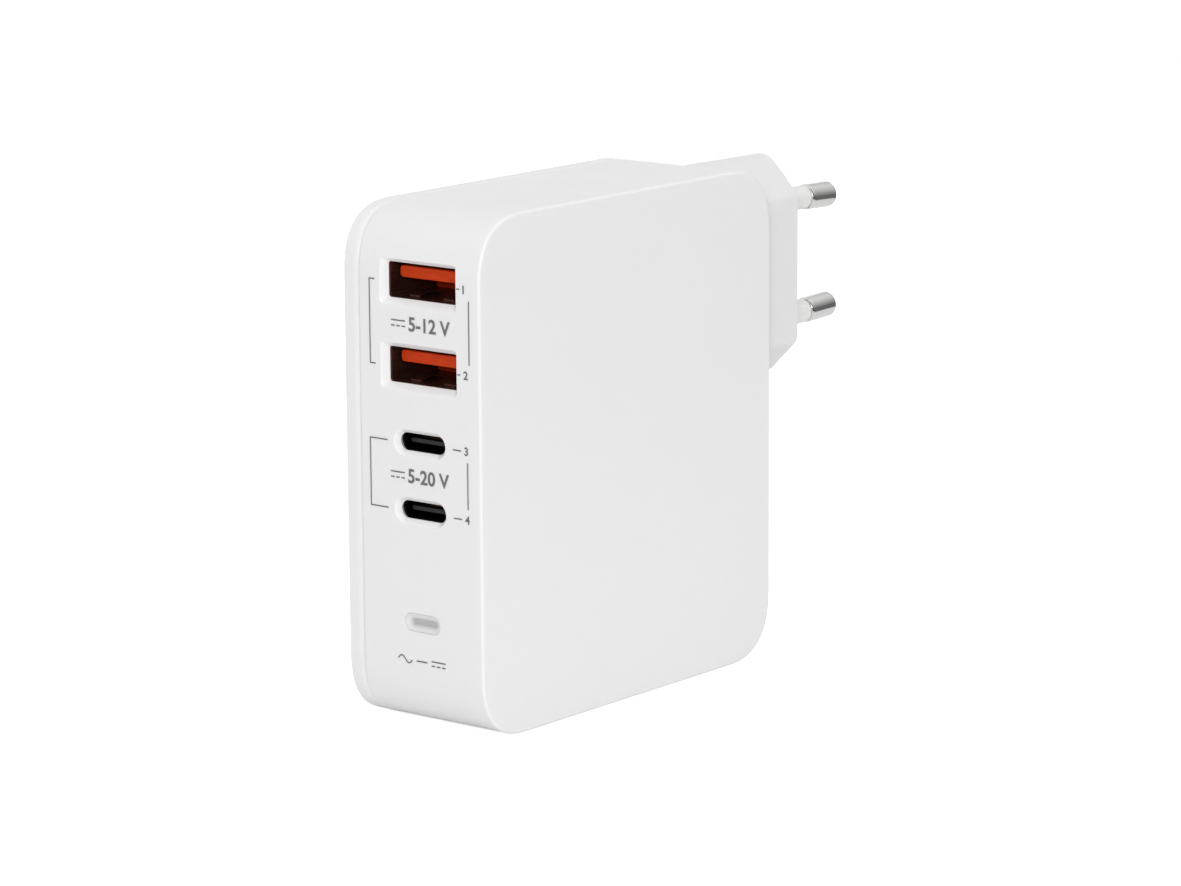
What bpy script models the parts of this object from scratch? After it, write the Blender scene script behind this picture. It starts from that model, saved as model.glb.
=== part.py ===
"""Four-port wall charger with a fixed two-pin plug, modelled as it is assembled.

X runs across the thickness (the wide side faces are -X and +X), the ports face -Y, the plug
points to +Y and +Z is up.  The origin is the middle of the flat base under the body.
All values are metres.
"""

import math

import bmesh
import bpy
from mathutils import Matrix, Vector

for leftover in list(bpy.data.objects):
    bpy.data.objects.remove(leftover, do_unlink=True)

# ---------------------------------------------------------------- driving dimensions

# Body: a slab with soft corners in its side view, split near the -X face
BODY_THICKNESS = 0.0252
BODY_DEPTH = 0.0678
BODY_HEIGHT = 0.0750
CORNER_REACH = 0.0104
CORNER_POWER = 2.6
WALL = 0.0020
EDGE_FILLET = 0.0006
COVER_DEPTH = 0.0026
SEAM_BREAK = 0.0003
LIP_DEPTH = 0.0015
LIP_WALL = 0.0010

# Clearances
GAP = 0.0003
PART_SPACE = 0.0008
CUT_OVER = 0.0004
BROKEN_EDGE = 0.0003

# Ports on the front, measured down from the top of the body
USB_A_WIDTH = 0.0125
USB_A_HEIGHT = 0.0051
USB_A_CORNER = 0.0004
USB_A_DROP = 0.0101
USB_A_PITCH = 0.0121
USB_C_WIDTH = 0.00834
USB_C_HEIGHT = 0.00256
USB_C_DROP = 0.0330
USB_C_PITCH = 0.0098
PORT_LEAD_IN = 0.0005
PORT_LIP = 0.0012
SHELL_WALL = 0.0003
SHELL_LENGTH = 0.0105
TONGUE_A_THICKNESS = 0.0017
TONGUE_A_DROP = 0.0007
TONGUE_A_SIDE = 0.0007
TONGUE_A_SETBACK = 0.0013
TONGUE_C_WIDTH = 0.0067
TONGUE_C_THICKNESS = 0.0007
TONGUE_C_SETBACK = 0.0006
CONNECTOR_BASE = 0.0030

# Light window, measured up from the base
WINDOW_WIDTH = 0.0066
WINDOW_HEIGHT = 0.0026
WINDOW_RISE = 0.0160
WINDOW_SETBACK = 0.0004
PIPE_FLANGE = 0.0008

# Two-pin plug head
PLUG_DROP = 0.0179
PLUG_STRAIGHT = 0.0228
PLUG_WIDTH = 0.0140
PLUG_APEX_RADIUS = 0.0034
PLUG_SHOULDER_RADIUS = 0.0020
PLUG_REACH = 0.0149
PLUG_INSET = 0.0062
PLUG_DRAFT = 0.0002
PLUG_EDGE = 0.0004
FLANGE_MARGIN = 0.0010
FLANGE_THICKNESS = 0.0015
PIN_DIAMETER = 0.0040
PIN_NECK = 0.0024
PIN_LENGTH = 0.0173
PIN_TIP_RADIUS = 0.0007
PIN_TAIL = 0.0015
PIN_SPACING = 0.0186
PIN_TIP_SPACING = 0.0174
SLEEVE_DIAMETER = 0.0037
SLEEVE_LENGTH = 0.0107
SLEEVE_SEAT = 0.0020
CLIP_THICKNESS = 0.0006
CLIP_WIDTH = 0.0044

# Boards and the ribs that hold them
BOARD_THICKNESS = 0.0016
BOARD_STANDOFF = 0.0023
PORT_BOARD_THICKNESS = 0.0012
RIB_THICKNESS = 0.0012
RIB_HEIGHT = 0.0026
LEDGE_WIDTH = 0.0030

# Parts on the boards
SHEET_THICKNESS = 0.0004
SPREADER_THICKNESS = 0.0008
PAD_THICKNESS = 0.0010
HEADER_HEIGHT = 0.0028
HEADER_LENGTH = 0.0240
OUTPUT_CAN_HEIGHT = 0.0115
OUTPUT_CAN_COUNT = 4
INDUCTOR_HEIGHT = 0.0060
CAN_GROOVE = 0.0005
BOBBIN_WALL = 0.0006
CHOKE_HEIGHT = 0.0075
CHOKE_BASE = 0.0012
CHOKE_SPLIT = 0.0020
X_CAPACITOR_HEIGHT = 0.0115
FUSE_HEIGHT = 0.0076
DISC_DIAMETER = 0.0066
DISC_THICKNESS = 0.0034
LEAD_RADIUS = 0.0003
LINE_INDUCTOR_HEIGHT = 0.0100
BRIDGE_WIDTH = 0.0070
BRIDGE_HEIGHT = 0.0026
COUPLER_LENGTH = 0.0046
COUPLER_WIDTH = 0.0065
COUPLER_HEIGHT = 0.0030
CHIP_HEIGHT = 0.0010
POWER_CHIP_SIDE = 0.0080
CONTROL_CHIP_SIDE = 0.0050

# Facets
CORNER_STEPS = 10
ROUND_STEPS = 24
SMALL_STEPS = 4
LEAD_STEPS = 8
SMOOTH_DEGREES = 32

# ---------------------------------------------------------------- derived planes

RIGHT = BODY_THICKNESS / 2
LEFT = -BODY_THICKNESS / 2
FRONT = -BODY_DEPTH / 2
BACK = BODY_DEPTH / 2
TOP = BODY_HEIGHT
SEAM = LEFT + COVER_DEPTH
INNER_RIGHT = RIGHT - WALL
INNER_LEFT = LEFT + WALL
INNER_FRONT = FRONT + WALL
INNER_BACK = BACK - WALL

PORT_X = (SEAM + RIGHT) / 2
USB_A_LEVELS = {"upper": TOP - USB_A_DROP, "lower": TOP - USB_A_DROP - USB_A_PITCH}
USB_C_LEVELS = {"upper": TOP - USB_C_DROP, "lower": TOP - USB_C_DROP - USB_C_PITCH}
SHELL_FRONT = FRONT + PORT_LIP + GAP
SHELL_BACK = SHELL_FRONT + SHELL_LENGTH
PORT_BOARD_FRONT = SHELL_BACK + GAP
PORT_BOARD_BACK = PORT_BOARD_FRONT + PORT_BOARD_THICKNESS

PLUG_Z = TOP - PLUG_DROP
PLUG_REAR = BACK + PLUG_REACH
PLUG_INNER = BACK - PLUG_INSET
FLANGE_BACK = INNER_BACK - GAP
FLANGE_FRONT = FLANGE_BACK - FLANGE_THICKNESS
PIN_TILT = math.atan2((PIN_SPACING - PIN_TIP_SPACING) / 2, PIN_LENGTH)

BOARD_LEFT = INNER_LEFT + BOARD_STANDOFF
BOARD_RIGHT = BOARD_LEFT + BOARD_THICKNESS
PART_BASE = BOARD_RIGHT + GAP
BOARD_FRONT = PORT_BOARD_BACK + GAP
BOARD_BACK = PLUG_INNER - PART_SPACE
BOARD_LOW = WALL + GAP + LIP_WALL + GAP
BOARD_HIGH = TOP - BOARD_LOW
SHEET_RIGHT = INNER_RIGHT - GAP
SPREADER_RIGHT = SHEET_RIGHT - SHEET_THICKNESS - GAP
SPREADER_LEFT = SPREADER_RIGHT - SPREADER_THICKNESS
PAD_LEFT = SPREADER_LEFT - GAP - PAD_THICKNESS
CORE_TOP = PAD_LEFT - GAP

# Room for parts on the main board, and the sizes that are shares of that room
RIB_CLEAR_LOW = WALL + RIB_HEIGHT + PART_SPACE
RIB_CLEAR_HIGH = TOP - RIB_CLEAR_LOW
ROOM_WIDTH = CORE_TOP - PART_BASE
ROOM_DEPTH = BOARD_BACK - BOARD_FRONT
ROOM_HEIGHT = RIB_CLEAR_HIGH - RIB_CLEAR_LOW
HEADER_DEPTH = ROOM_DEPTH / 20
CLIP_FOOT = ROOM_DEPTH / 12
OUTPUT_ROW_DEPTH = 3 * ROOM_DEPTH / 16
OUTPUT_CAN_DIAMETER = OUTPUT_ROW_DEPTH - PART_SPACE
MAINS_ROW_DEPTH = ROOM_DEPTH / 4
BULK_CAN_LENGTH = 7 * ROOM_DEPTH / 15
BULK_CAN_DIAMETER = ROOM_HEIGHT / 5 - PART_SPACE
FUSE_DIAMETER = ROOM_HEIGHT / 8
BRIDGE_LENGTH = ROOM_HEIGHT / 7
CHOKE_DIAMETER = min(MAINS_ROW_DEPTH, 2 * ROOM_HEIGHT / 11)
CHOKE_BORE = CHOKE_DIAMETER / 3
CHOKE_WIRE = CHOKE_DIAMETER / 15
CORE_WIDTH = 3 * ROOM_DEPTH / 10
CORE_LENGTH = ROOM_HEIGHT / 3
CORE_THICKNESS = ROOM_WIDTH / 2
CORE_LEG = CORE_WIDTH / 3
CORE_SIDE = CORE_WIDTH / 6
CORE_CHEEK = CORE_LENGTH / 6
CLIP_BACK = PLUG_INNER - PIN_TAIL * math.cos(PIN_TILT) - GAP
CLIP_FRONT = CLIP_BACK - CLIP_THICKNESS - CLIP_FOOT


# ---------------------------------------------------------------- materials

def finish(name, colour, roughness, metallic=0.0):
    """A Principled material of one linear colour."""
    material = bpy.data.materials.new(name)
    material.use_nodes = True
    shader = material.node_tree.nodes["Principled BSDF"]
    shader.inputs["Base Color"].default_value = (*colour, 1.0)
    shader.inputs["Roughness"].default_value = roughness
    shader.inputs["Metallic"].default_value = metallic
    material.diffuse_color = (*colour, 1.0)
    return material


WHITE_SHELL = finish("white_polycarbonate", (0.80, 0.80, 0.80), 0.38)
WHITE_PLUG = finish("white_plug_head", (0.78, 0.78, 0.78), 0.42)
SLEEVE_WHITE = finish("sleeve_nylon", (0.78, 0.78, 0.77), 0.45)
NICKEL = finish("nickel_plate", (0.62, 0.61, 0.60), 0.18, 1.0)
STEEL = finish("black_nickel_plate", (0.08, 0.07, 0.065), 0.30, 1.0)
BRONZE = finish("phosphor_bronze", (0.62, 0.38, 0.18), 0.30, 1.0)
ORANGE = finish("orange_insulator", (0.60, 0.06, 0.01), 0.45)
BLACK_INSULATOR = finish("black_insulator", (0.012, 0.012, 0.012), 0.45)
FROSTED = finish("frosted_light_pipe", (0.60, 0.60, 0.60), 0.50)
LED_WHITE = finish("led_package", (0.70, 0.68, 0.55), 0.40)
FIBREGLASS = finish("green_fibreglass", (0.02, 0.16, 0.06), 0.50)
FERRITE = finish("ferrite", (0.035, 0.035, 0.038), 0.60)
COPPER_TAPE = finish("yellow_tape", (0.70, 0.45, 0.05), 0.40)
COPPER_WIRE = finish("enamelled_copper", (0.50, 0.17, 0.06), 0.35, 1.0)
CAN_SLEEVE = finish("capacitor_sleeve", (0.03, 0.03, 0.05), 0.45)
CAN_METAL = finish("polymer_capacitor_can", (0.75, 0.75, 0.76), 0.25, 1.0)
YELLOW_BOX = finish("film_capacitor_box", (0.75, 0.55, 0.08), 0.45)
BLUE_DISC = finish("ceramic_disc", (0.03, 0.13, 0.45), 0.45)
EPOXY = finish("moulded_epoxy", (0.02, 0.02, 0.02), 0.50)
ALUMINIUM = finish("aluminium_sheet", (0.78, 0.78, 0.79), 0.30, 1.0)
PAD_GREY = finish("thermal_pad", (0.35, 0.37, 0.42), 0.80)
FILM = finish("insulation_film", (0.65, 0.62, 0.50), 0.40)


# ---------------------------------------------------------------- mesh tools

def place(name, mesh, material):
    """Put a mesh in the scene as a named sub-part."""
    part = bpy.data.objects.new(name, mesh)
    part.data.materials.clear()
    part.data.materials.append(material)
    bpy.context.collection.objects.link(part)
    return part


def loft(name, rings, material):
    """A closed solid through rings of equal point count, with flat ends."""
    form = bmesh.new()
    loops = [[form.verts.new(point) for point in ring] for ring in rings]
    count = len(rings[0])
    for near, far in zip(loops, loops[1:]):
        for i in range(count):
            j = (i + 1) % count
            form.faces.new((near[i], near[j], far[j], far[i]))
    form.faces.new(loops[0])
    form.faces.new(list(reversed(loops[-1])))
    bmesh.ops.recalc_face_normals(form, faces=form.faces)
    mesh = bpy.data.meshes.new(name)
    form.to_mesh(mesh)
    form.free()
    mesh.shade_smooth()
    mesh.set_sharp_from_angle(angle=math.radians(SMOOTH_DEGREES))
    return place(name, mesh, material)


def hidden(part):
    """Mark a cutter or a shape to be joined: it is a guide, not a piece."""
    part.hide_render = True
    part.display_type = "WIRE"
    return part


def combine(part, other, operation):
    """Cut another shape out of a part, or join it on."""
    hidden(other)
    modifier = part.modifiers.new(operation.lower(), "BOOLEAN")
    modifier.operation = operation
    modifier.object = other
    modifier.solver = "EXACT"
    return part


def cut(part, other):
    return combine(part, other, "DIFFERENCE")


def join(part, other):
    return combine(part, other, "UNION")


def box(name, low, high, material):
    """A block between two corners."""
    rings = []
    for x in (low[0], high[0]):
        rings.append([(x, low[1], low[2]), (x, high[1], low[2]),
                      (x, high[1], high[2]), (x, low[1], high[2])])
    return loft(name, rings, material)


def bevelled_box(name, low, high, edge, material):
    """A block with its edges broken by one chamfer."""
    block = box(name, low, high, material)
    bevel = block.modifiers.new("edges", "BEVEL")
    bevel.width = edge
    bevel.segments = 1
    bevel.limit_method = "NONE"
    return block


def circle(radius, steps):
    """Points of a circle, as pairs."""
    turn = 2 * math.pi / steps
    return [(radius * math.cos(i * turn), radius * math.sin(i * turn)) for i in range(steps)]


def turned(name, profile, place_at, axis, material, steps=ROUND_STEPS):
    """A solid of revolution: profile pairs are (distance along the axis, radius)."""
    toward = Vector((0, 0, 1)).rotation_difference(Vector(axis)).to_matrix().to_4x4()
    move = Matrix.Translation(place_at) @ toward
    rings = []
    for along, radius in profile:
        rings.append([move @ Vector((u, v, along)) for u, v in circle(radius, steps)])
    return loft(name, rings, material)


def corner_arc(centre, start, radius, steps, power=2.0):
    """Quarter turn about a centre; a power above 2 gives a fuller, softer corner."""
    points = []
    for i in range(steps + 1):
        angle = i * math.pi / 2 / steps
        c = math.cos(angle) ** (2 / power) if i < steps else 0.0
        s = math.sin(angle) ** (2 / power) if i > 0 else 0.0
        u = radius * (c * math.cos(start) - s * math.sin(start))
        v = radius * (c * math.sin(start) + s * math.cos(start))
        points.append((centre[0] + u, centre[1] + v))
    return points


def soft_rectangle(width, height, radius, steps, power=2.0):
    """Outline of a rectangle about the origin with round corners."""
    points = []
    signs = ((1, 1), (-1, 1), (-1, -1), (1, -1))
    for quarter, (su, sv) in enumerate(signs):
        centre = (su * (width / 2 - radius), sv * (height / 2 - radius))
        points += corner_arc(centre, quarter * math.pi / 2, radius, steps, power)
    return points


def body_ring(x, inset):
    """The side-view outline of the body at one X, drawn in by an inset."""
    outline = soft_rectangle(BODY_DEPTH - 2 * inset, BODY_HEIGHT - 2 * inset,
                             CORNER_REACH - inset, CORNER_STEPS, CORNER_POWER)
    return [(x, y, z + BODY_HEIGHT / 2) for y, z in outline]


def front_ring(y, centre_z, width, height, radius):
    """A round-cornered outline facing -Y, centred on the row of ports."""
    outline = soft_rectangle(width, height, radius, SMALL_STEPS)
    return [(PORT_X + x, y, centre_z + z) for x, z in outline]


def hexagon(width, straight, apex, shoulder, grow):
    """The plug head outline: two straight flanks and pointed ends, all corners round."""
    half = width / 2 + grow
    flank = straight / 2 + grow * math.tan(math.radians(22.5))
    tip = flank + half
    corners = ((0, tip, apex + grow), (-half, flank, shoulder + grow),
               (-half, -flank, shoulder + grow), (0, -tip, apex + grow),
               (half, -flank, shoulder + grow), (half, flank, shoulder + grow))
    points = []
    for i, (x, z, radius) in enumerate(corners):
        here = Vector((x, z))
        before = (Vector(corners[i - 1][:2]) - here).normalized()
        after = (Vector(corners[(i + 1) % 6][:2]) - here).normalized()
        half_angle = before.angle(after) / 2
        run = radius / math.tan(half_angle)
        middle = here + (before + after).normalized() * (radius / math.sin(half_angle))
        first = here + before * run - middle
        sweep = math.pi - 2 * half_angle
        for k in range(SMALL_STEPS + 1):
            turn = sweep * k / SMALL_STEPS
            points.append(tuple(middle + Matrix.Rotation(turn, 2) @ first))
    return points


def plug_ring(y, grow):
    """The plug head outline at one Y."""
    outline = hexagon(PLUG_WIDTH, PLUG_STRAIGHT, PLUG_APEX_RADIUS, PLUG_SHOULDER_RADIUS, grow)
    return [(x, y, PLUG_Z + z) for x, z in outline]


def fillet_steps(radius):
    """Pairs (drop from the face, inset of the outline) round a fillet, from the face outwards."""
    pairs = []
    for i in range(SMALL_STEPS + 1):
        angle = i * math.pi / 2 / SMALL_STEPS
        pairs.append((radius * (1 - math.cos(angle)), radius * (1 - math.sin(angle))))
    return pairs


# ---------------------------------------------------------------- casing

def rib(name, y_low, y_high, at_top):
    """A rib along X on the inner top or bottom wall of the main housing."""
    root = WALL / 2
    if at_top:
        low, high = TOP - WALL - RIB_HEIGHT, TOP - root
    else:
        low, high = root, WALL + RIB_HEIGHT
    return box(name, (PART_BASE, y_low, low), (INNER_RIGHT + root, y_high, high), WHITE_SHELL)


def port_cutter(name, level, width, height, radius):
    """A port hole: lead-in, straight lip, then the pocket that the shell sits in."""
    grow = SHELL_WALL + GAP
    wide = PORT_LEAD_IN + CUT_OVER
    return loft(name, [
        front_ring(FRONT - CUT_OVER, level, width + 2 * wide, height + 2 * wide, radius + wide),
        front_ring(FRONT + PORT_LEAD_IN, level, width, height, radius),
        front_ring(FRONT + PORT_LIP, level, width, height, radius),
        front_ring(FRONT + PORT_LIP, level, width + 2 * grow, height + 2 * grow, radius + grow),
        front_ring(INNER_FRONT + CUT_OVER, level, width + 2 * grow, height + 2 * grow,
                   radius + grow),
    ], WHITE_SHELL)


def main_housing():
    """Deep tub open to -X: front, top, base, back and the +X face in one moulding."""
    seam = SEAM + GAP
    rings = [body_ring(RIGHT - drop, inset) for drop, inset in fillet_steps(EDGE_FILLET)]
    rings += [body_ring(seam + SEAM_BREAK, 0), body_ring(seam, SEAM_BREAK),
              body_ring(seam, WALL), body_ring(INNER_RIGHT, WALL)]
    housing = loft("main_housing", rings, WHITE_SHELL)

    ledges = {"front": BOARD_FRONT + LEDGE_WIDTH, "back": BOARD_BACK - 3 * LEDGE_WIDTH}
    for at_top in (False, True):
        side = "top" if at_top else "base"
        for name, y in ledges.items():
            join(housing, rib(f"ledge_{name}_{side}", y, y + LEDGE_WIDTH, at_top))
        front_y = PORT_BOARD_FRONT - GAP
        join(housing, rib(f"slot_front_{side}", front_y - RIB_THICKNESS, front_y, at_top))

    for place_name, level in USB_A_LEVELS.items():
        cut(housing, port_cutter(f"usb_a_hole_{place_name}", level,
                                 USB_A_WIDTH, USB_A_HEIGHT, USB_A_CORNER))
    for place_name, level in USB_C_LEVELS.items():
        cut(housing, port_cutter(f"usb_c_hole_{place_name}", level,
                                 USB_C_WIDTH, USB_C_HEIGHT, USB_C_HEIGHT / 2))
    cut(housing, loft("window_hole", [
        front_ring(y, WINDOW_RISE, WINDOW_WIDTH, WINDOW_HEIGHT, WINDOW_HEIGHT / 2)
        for y in (FRONT - CUT_OVER, INNER_FRONT + CUT_OVER)], WHITE_SHELL))
    cut(housing, loft("plug_hole", [plug_ring(PLUG_INNER - GAP, GAP + PLUG_DRAFT),
                                    plug_ring(BACK + CUT_OVER, GAP + PLUG_DRAFT)], WHITE_SHELL))
    return housing


def side_cover():
    """Shallow lid that closes the -X side, with a locating lip inside the tub's walls."""
    lip_outer = WALL + GAP
    lip_inner = lip_outer + LIP_WALL
    rings = [body_ring(LEFT + drop, inset) for drop, inset in fillet_steps(EDGE_FILLET)]
    rings += [body_ring(SEAM - SEAM_BREAK, 0), body_ring(SEAM, SEAM_BREAK),
              body_ring(SEAM, lip_outer), body_ring(SEAM + LIP_DEPTH, lip_outer),
              body_ring(SEAM + LIP_DEPTH, lip_inner), body_ring(INNER_LEFT, lip_inner)]
    cover = loft("side_cover", rings, WHITE_SHELL)
    for y in (BOARD_FRONT + LEDGE_WIDTH, BOARD_BACK - 2 * LEDGE_WIDTH):
        for z in (BOARD_LOW + LEDGE_WIDTH, BOARD_HIGH - 2 * LEDGE_WIDTH):
            join(cover, box(f"cover_post_{y:.4f}_{z:.4f}", (INNER_LEFT - WALL / 2, y, z),
                            (BOARD_LEFT - GAP, y + LEDGE_WIDTH, z + LEDGE_WIDTH), WHITE_SHELL))
    return cover


# ---------------------------------------------------------------- plug head and pins

def pin_frame(side):
    """Axis frame of one pin at the rear face: local Z runs out along the pin."""
    centre = Vector((0, PLUG_REAR, PLUG_Z + side * PIN_SPACING / 2))
    axis = Vector((0, math.cos(PIN_TILT), -side * math.sin(PIN_TILT)))
    return centre, axis


def plug_block():
    """Moulded plug head: pointed hexagon with a flange held inside the back wall."""
    rings = [plug_ring(PLUG_INNER, PLUG_DRAFT), plug_ring(BACK, PLUG_DRAFT)]
    for drop, inset in reversed(fillet_steps(PLUG_EDGE)):
        rings.append(plug_ring(PLUG_REAR - drop, -inset))
    block = loft("plug_block", rings, WHITE_PLUG)
    half = PLUG_WIDTH / 2 + FLANGE_MARGIN
    join(block, box("plug_flange", (-half, FLANGE_FRONT, PLUG_Z - PLUG_STRAIGHT / 2),
                    (half, FLANGE_BACK, TOP - CORNER_REACH), WHITE_PLUG))
    depth = PLUG_REAR - PLUG_INNER
    for name, side in (("upper", 1), ("lower", -1)):
        centre, axis = pin_frame(side)
        neck = PIN_NECK / 2 + GAP
        seat = SLEEVE_DIAMETER / 2 + GAP
        cut(block, turned(f"pin_bore_{name}",
                          [(-depth - WALL, neck), (-SLEEVE_SEAT - GAP, neck),
                           (-SLEEVE_SEAT - GAP, seat), (PLUG_EDGE, seat)],
                          centre, axis, WHITE_PLUG))
    return block


def pin(name, side):
    """Round pin: necked under its sleeve, full diameter beyond it, with a rounded tip."""
    centre, axis = pin_frame(side)
    radius = PIN_DIAMETER / 2
    neck = PIN_NECK / 2
    tail = -(PLUG_REAR - PLUG_INNER) - PIN_TAIL
    profile = [(tail, neck), (SLEEVE_LENGTH + GAP, neck), (SLEEVE_LENGTH + GAP, radius)]
    profile += [(PIN_LENGTH - drop, radius - inset)
                for drop, inset in reversed(fillet_steps(PIN_TIP_RADIUS))]
    return turned(name, profile, centre, axis, NICKEL)


def pin_sleeve(name, side):
    """Insulating sleeve over the first part of the pin, let into the plug head."""
    centre, axis = pin_frame(side)
    outer = SLEEVE_DIAMETER / 2
    sleeve = turned(name, [(-SLEEVE_SEAT, outer), (SLEEVE_LENGTH, outer)],
                    centre, axis, SLEEVE_WHITE)
    bore = PIN_NECK / 2 + GAP
    return cut(sleeve, turned(f"{name}_bore",
                              [(-SLEEVE_SEAT - WALL, bore), (SLEEVE_LENGTH + WALL, bore)],
                              centre, axis, SLEEVE_WHITE))


def pin_clip(name, side):
    """Bronze contact: a leaf behind the pin's tail with a foot on the main board."""
    back = CLIP_BACK
    front = back - CLIP_THICKNESS
    tail_z = PLUG_Z + side * (PIN_SPACING / 2
                              + (PLUG_REAR - PLUG_INNER + PIN_TAIL) * math.tan(PIN_TILT))
    low, high = tail_z - CLIP_WIDTH / 2, tail_z + CLIP_WIDTH / 2
    foot_top = PART_BASE + CLIP_THICKNESS
    outline = [(PIN_NECK / 2, back), (PIN_NECK / 2, front), (foot_top, front),
               (foot_top, CLIP_FRONT), (PART_BASE, CLIP_FRONT), (PART_BASE, back)]
    return loft(name, [[(x, y, z) for x, y in outline] for z in (low, high)], BRONZE)


# ---------------------------------------------------------------- ports

def usb_a_shell(name, level):
    """Stamped shell of a type-A socket: a round-cornered tube."""
    width, height = USB_A_WIDTH, USB_A_HEIGHT
    t = SHELL_WALL
    shell = loft(name, [front_ring(y, level, width + 2 * t, height + 2 * t, USB_A_CORNER + t)
                        for y in (SHELL_FRONT, SHELL_BACK)], STEEL)
    return cut(shell, loft(f"{name}_mouth",
                           [front_ring(y, level, width, height, USB_A_CORNER)
                            for y in (SHELL_FRONT - t, SHELL_BACK + t)], STEEL))


def usb_a_insulator(name, level):
    """Insulator of a type-A socket: a base that fills the shell and a tongue near the top."""
    roof = level + USB_A_HEIGHT / 2
    floor = level - USB_A_HEIGHT / 2
    tongue_top = roof - TONGUE_A_DROP
    tongue_low = tongue_top - TONGUE_A_THICKNESS
    base_front = SHELL_BACK - CONNECTOR_BASE
    outline = [(SHELL_BACK, floor + GAP), (SHELL_BACK, roof - GAP), (base_front, roof - GAP),
               (base_front, tongue_top), (SHELL_FRONT + TONGUE_A_SETBACK, tongue_top),
               (SHELL_FRONT + TONGUE_A_SETBACK, tongue_low), (base_front, tongue_low),
               (base_front, floor + GAP)]
    half = USB_A_WIDTH / 2 - TONGUE_A_SIDE
    return loft(name, [[(PORT_X + x, y, z) for y, z in outline] for x in (-half, half)], ORANGE)


def usb_c_shell(name, level):
    """Drawn shell of a type-C socket: an oval tube."""
    width, height = USB_C_WIDTH, USB_C_HEIGHT
    t = SHELL_WALL
    shell = loft(name, [front_ring(y, level, width + 2 * t, height + 2 * t, height / 2 + t)
                        for y in (SHELL_FRONT, SHELL_BACK)], STEEL)
    return cut(shell, loft(f"{name}_mouth",
                           [front_ring(y, level, width, height, height / 2)
                            for y in (SHELL_FRONT - t, SHELL_BACK + t)], STEEL))


def usb_c_insulator(name, level):
    """Insulator of a type-C socket: an oval base with the thin tongue in the middle."""
    width, height = USB_C_WIDTH - 2 * GAP, USB_C_HEIGHT - 2 * GAP
    base_front = SHELL_BACK - CONNECTOR_BASE
    base = loft(name, [front_ring(y, level, width, height, height / 2)
                       for y in (base_front, SHELL_BACK)], BLACK_INSULATOR)
    half = TONGUE_C_WIDTH / 2
    thin = TONGUE_C_THICKNESS / 2
    tongue = box(f"{name}_tongue", (PORT_X - half, SHELL_FRONT + TONGUE_C_SETBACK, level - thin),
                 (PORT_X + half, base_front + CONNECTOR_BASE / 2, level + thin), BLACK_INSULATOR)
    return join(base, tongue)


def light_pipe():
    """Frosted rod from the window back to the status light, with a stop flange."""
    width, height = WINDOW_WIDTH - 2 * GAP, WINDOW_HEIGHT - 2 * GAP
    stop = INNER_FRONT + GAP
    wide, tall = WINDOW_WIDTH + 2 * PIPE_FLANGE, WINDOW_HEIGHT + 2 * PIPE_FLANGE
    led_space = PORT_BOARD_FRONT - GAP - CHIP_HEIGHT - GAP
    rings = [(FRONT + WINDOW_SETBACK, width, height), (stop, width, height),
             (stop, wide, tall), (stop + PIPE_FLANGE, wide, tall),
             (stop + PIPE_FLANGE, width, height), (led_space, width, height)]
    return loft("light_pipe", [front_ring(y, WINDOW_RISE, w, h, h / 2) for y, w, h in rings],
                FROSTED)


def status_led():
    """Small lamp on the port board, behind the light pipe."""
    half = WINDOW_HEIGHT / 2
    back = PORT_BOARD_FRONT - GAP
    return box("status_led", (PORT_X - half, back - CHIP_HEIGHT, WINDOW_RISE - half / 2),
               (PORT_X + half, back, WINDOW_RISE + half / 2), LED_WHITE)


# ---------------------------------------------------------------- boards

def port_board():
    """Upright board across the body that the four sockets are soldered to."""
    return box("port_board", (INNER_LEFT + GAP, PORT_BOARD_FRONT, BOARD_LOW),
               (INNER_RIGHT - GAP, PORT_BOARD_BACK, BOARD_HIGH), FIBREGLASS)


def main_board():
    """Power board parallel to the wide faces, clamped between ledges and cover posts."""
    return box("main_board", (BOARD_LEFT, BOARD_FRONT, BOARD_LOW),
               (BOARD_RIGHT, BOARD_BACK, BOARD_HIGH), FIBREGLASS)


# ---------------------------------------------------------------- parts on the main board

# Rows along Y: header, output row, transformer, mains row, pin clips
HEADER_BACK = BOARD_FRONT + HEADER_DEPTH
OUTPUT_ROW_Y = HEADER_BACK + PART_SPACE + OUTPUT_ROW_DEPTH / 2
MAINS_ROW_Y = CLIP_FRONT - PART_SPACE - MAINS_ROW_DEPTH / 2
CORE_Y = (OUTPUT_ROW_Y + OUTPUT_ROW_DEPTH / 2 + MAINS_ROW_Y - MAINS_ROW_DEPTH / 2) / 2
CORE_FRONT = CORE_Y - CORE_WIDTH / 2
CORE_BACK = CORE_Y + CORE_WIDTH / 2

# Stacks along Z: capacitors and transformer from the base, fuse and choke from the top
BULK_LOWER_Z = RIB_CLEAR_LOW + BULK_CAN_DIAMETER / 2
BULK_UPPER_Z = BULK_LOWER_Z + BULK_CAN_DIAMETER + PART_SPACE
BULK_HIGH = BULK_UPPER_Z + BULK_CAN_DIAMETER / 2
BULK_BACK = BOARD_BACK - PART_SPACE
BULK_FRONT = BULK_BACK - BULK_CAN_LENGTH
CORE_LOW = BULK_HIGH + PART_SPACE
CORE_Z = CORE_LOW + CORE_LENGTH / 2
CORE_X = (PART_BASE + CORE_TOP) / 2

FUSE_Z = RIB_CLEAR_HIGH - FUSE_DIAMETER / 2
CHOKE_Z = FUSE_Z - FUSE_DIAMETER / 2 - PART_SPACE - CHOKE_DIAMETER / 2
BRIDGE_Z = CHOKE_Z - CHOKE_DIAMETER / 2 - PART_SPACE - BRIDGE_LENGTH / 2
X_CAPACITOR_LOW = BULK_HIGH + PART_SPACE
X_CAPACITOR_HIGH = BRIDGE_Z - BRIDGE_LENGTH / 2 - PART_SPACE


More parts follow.
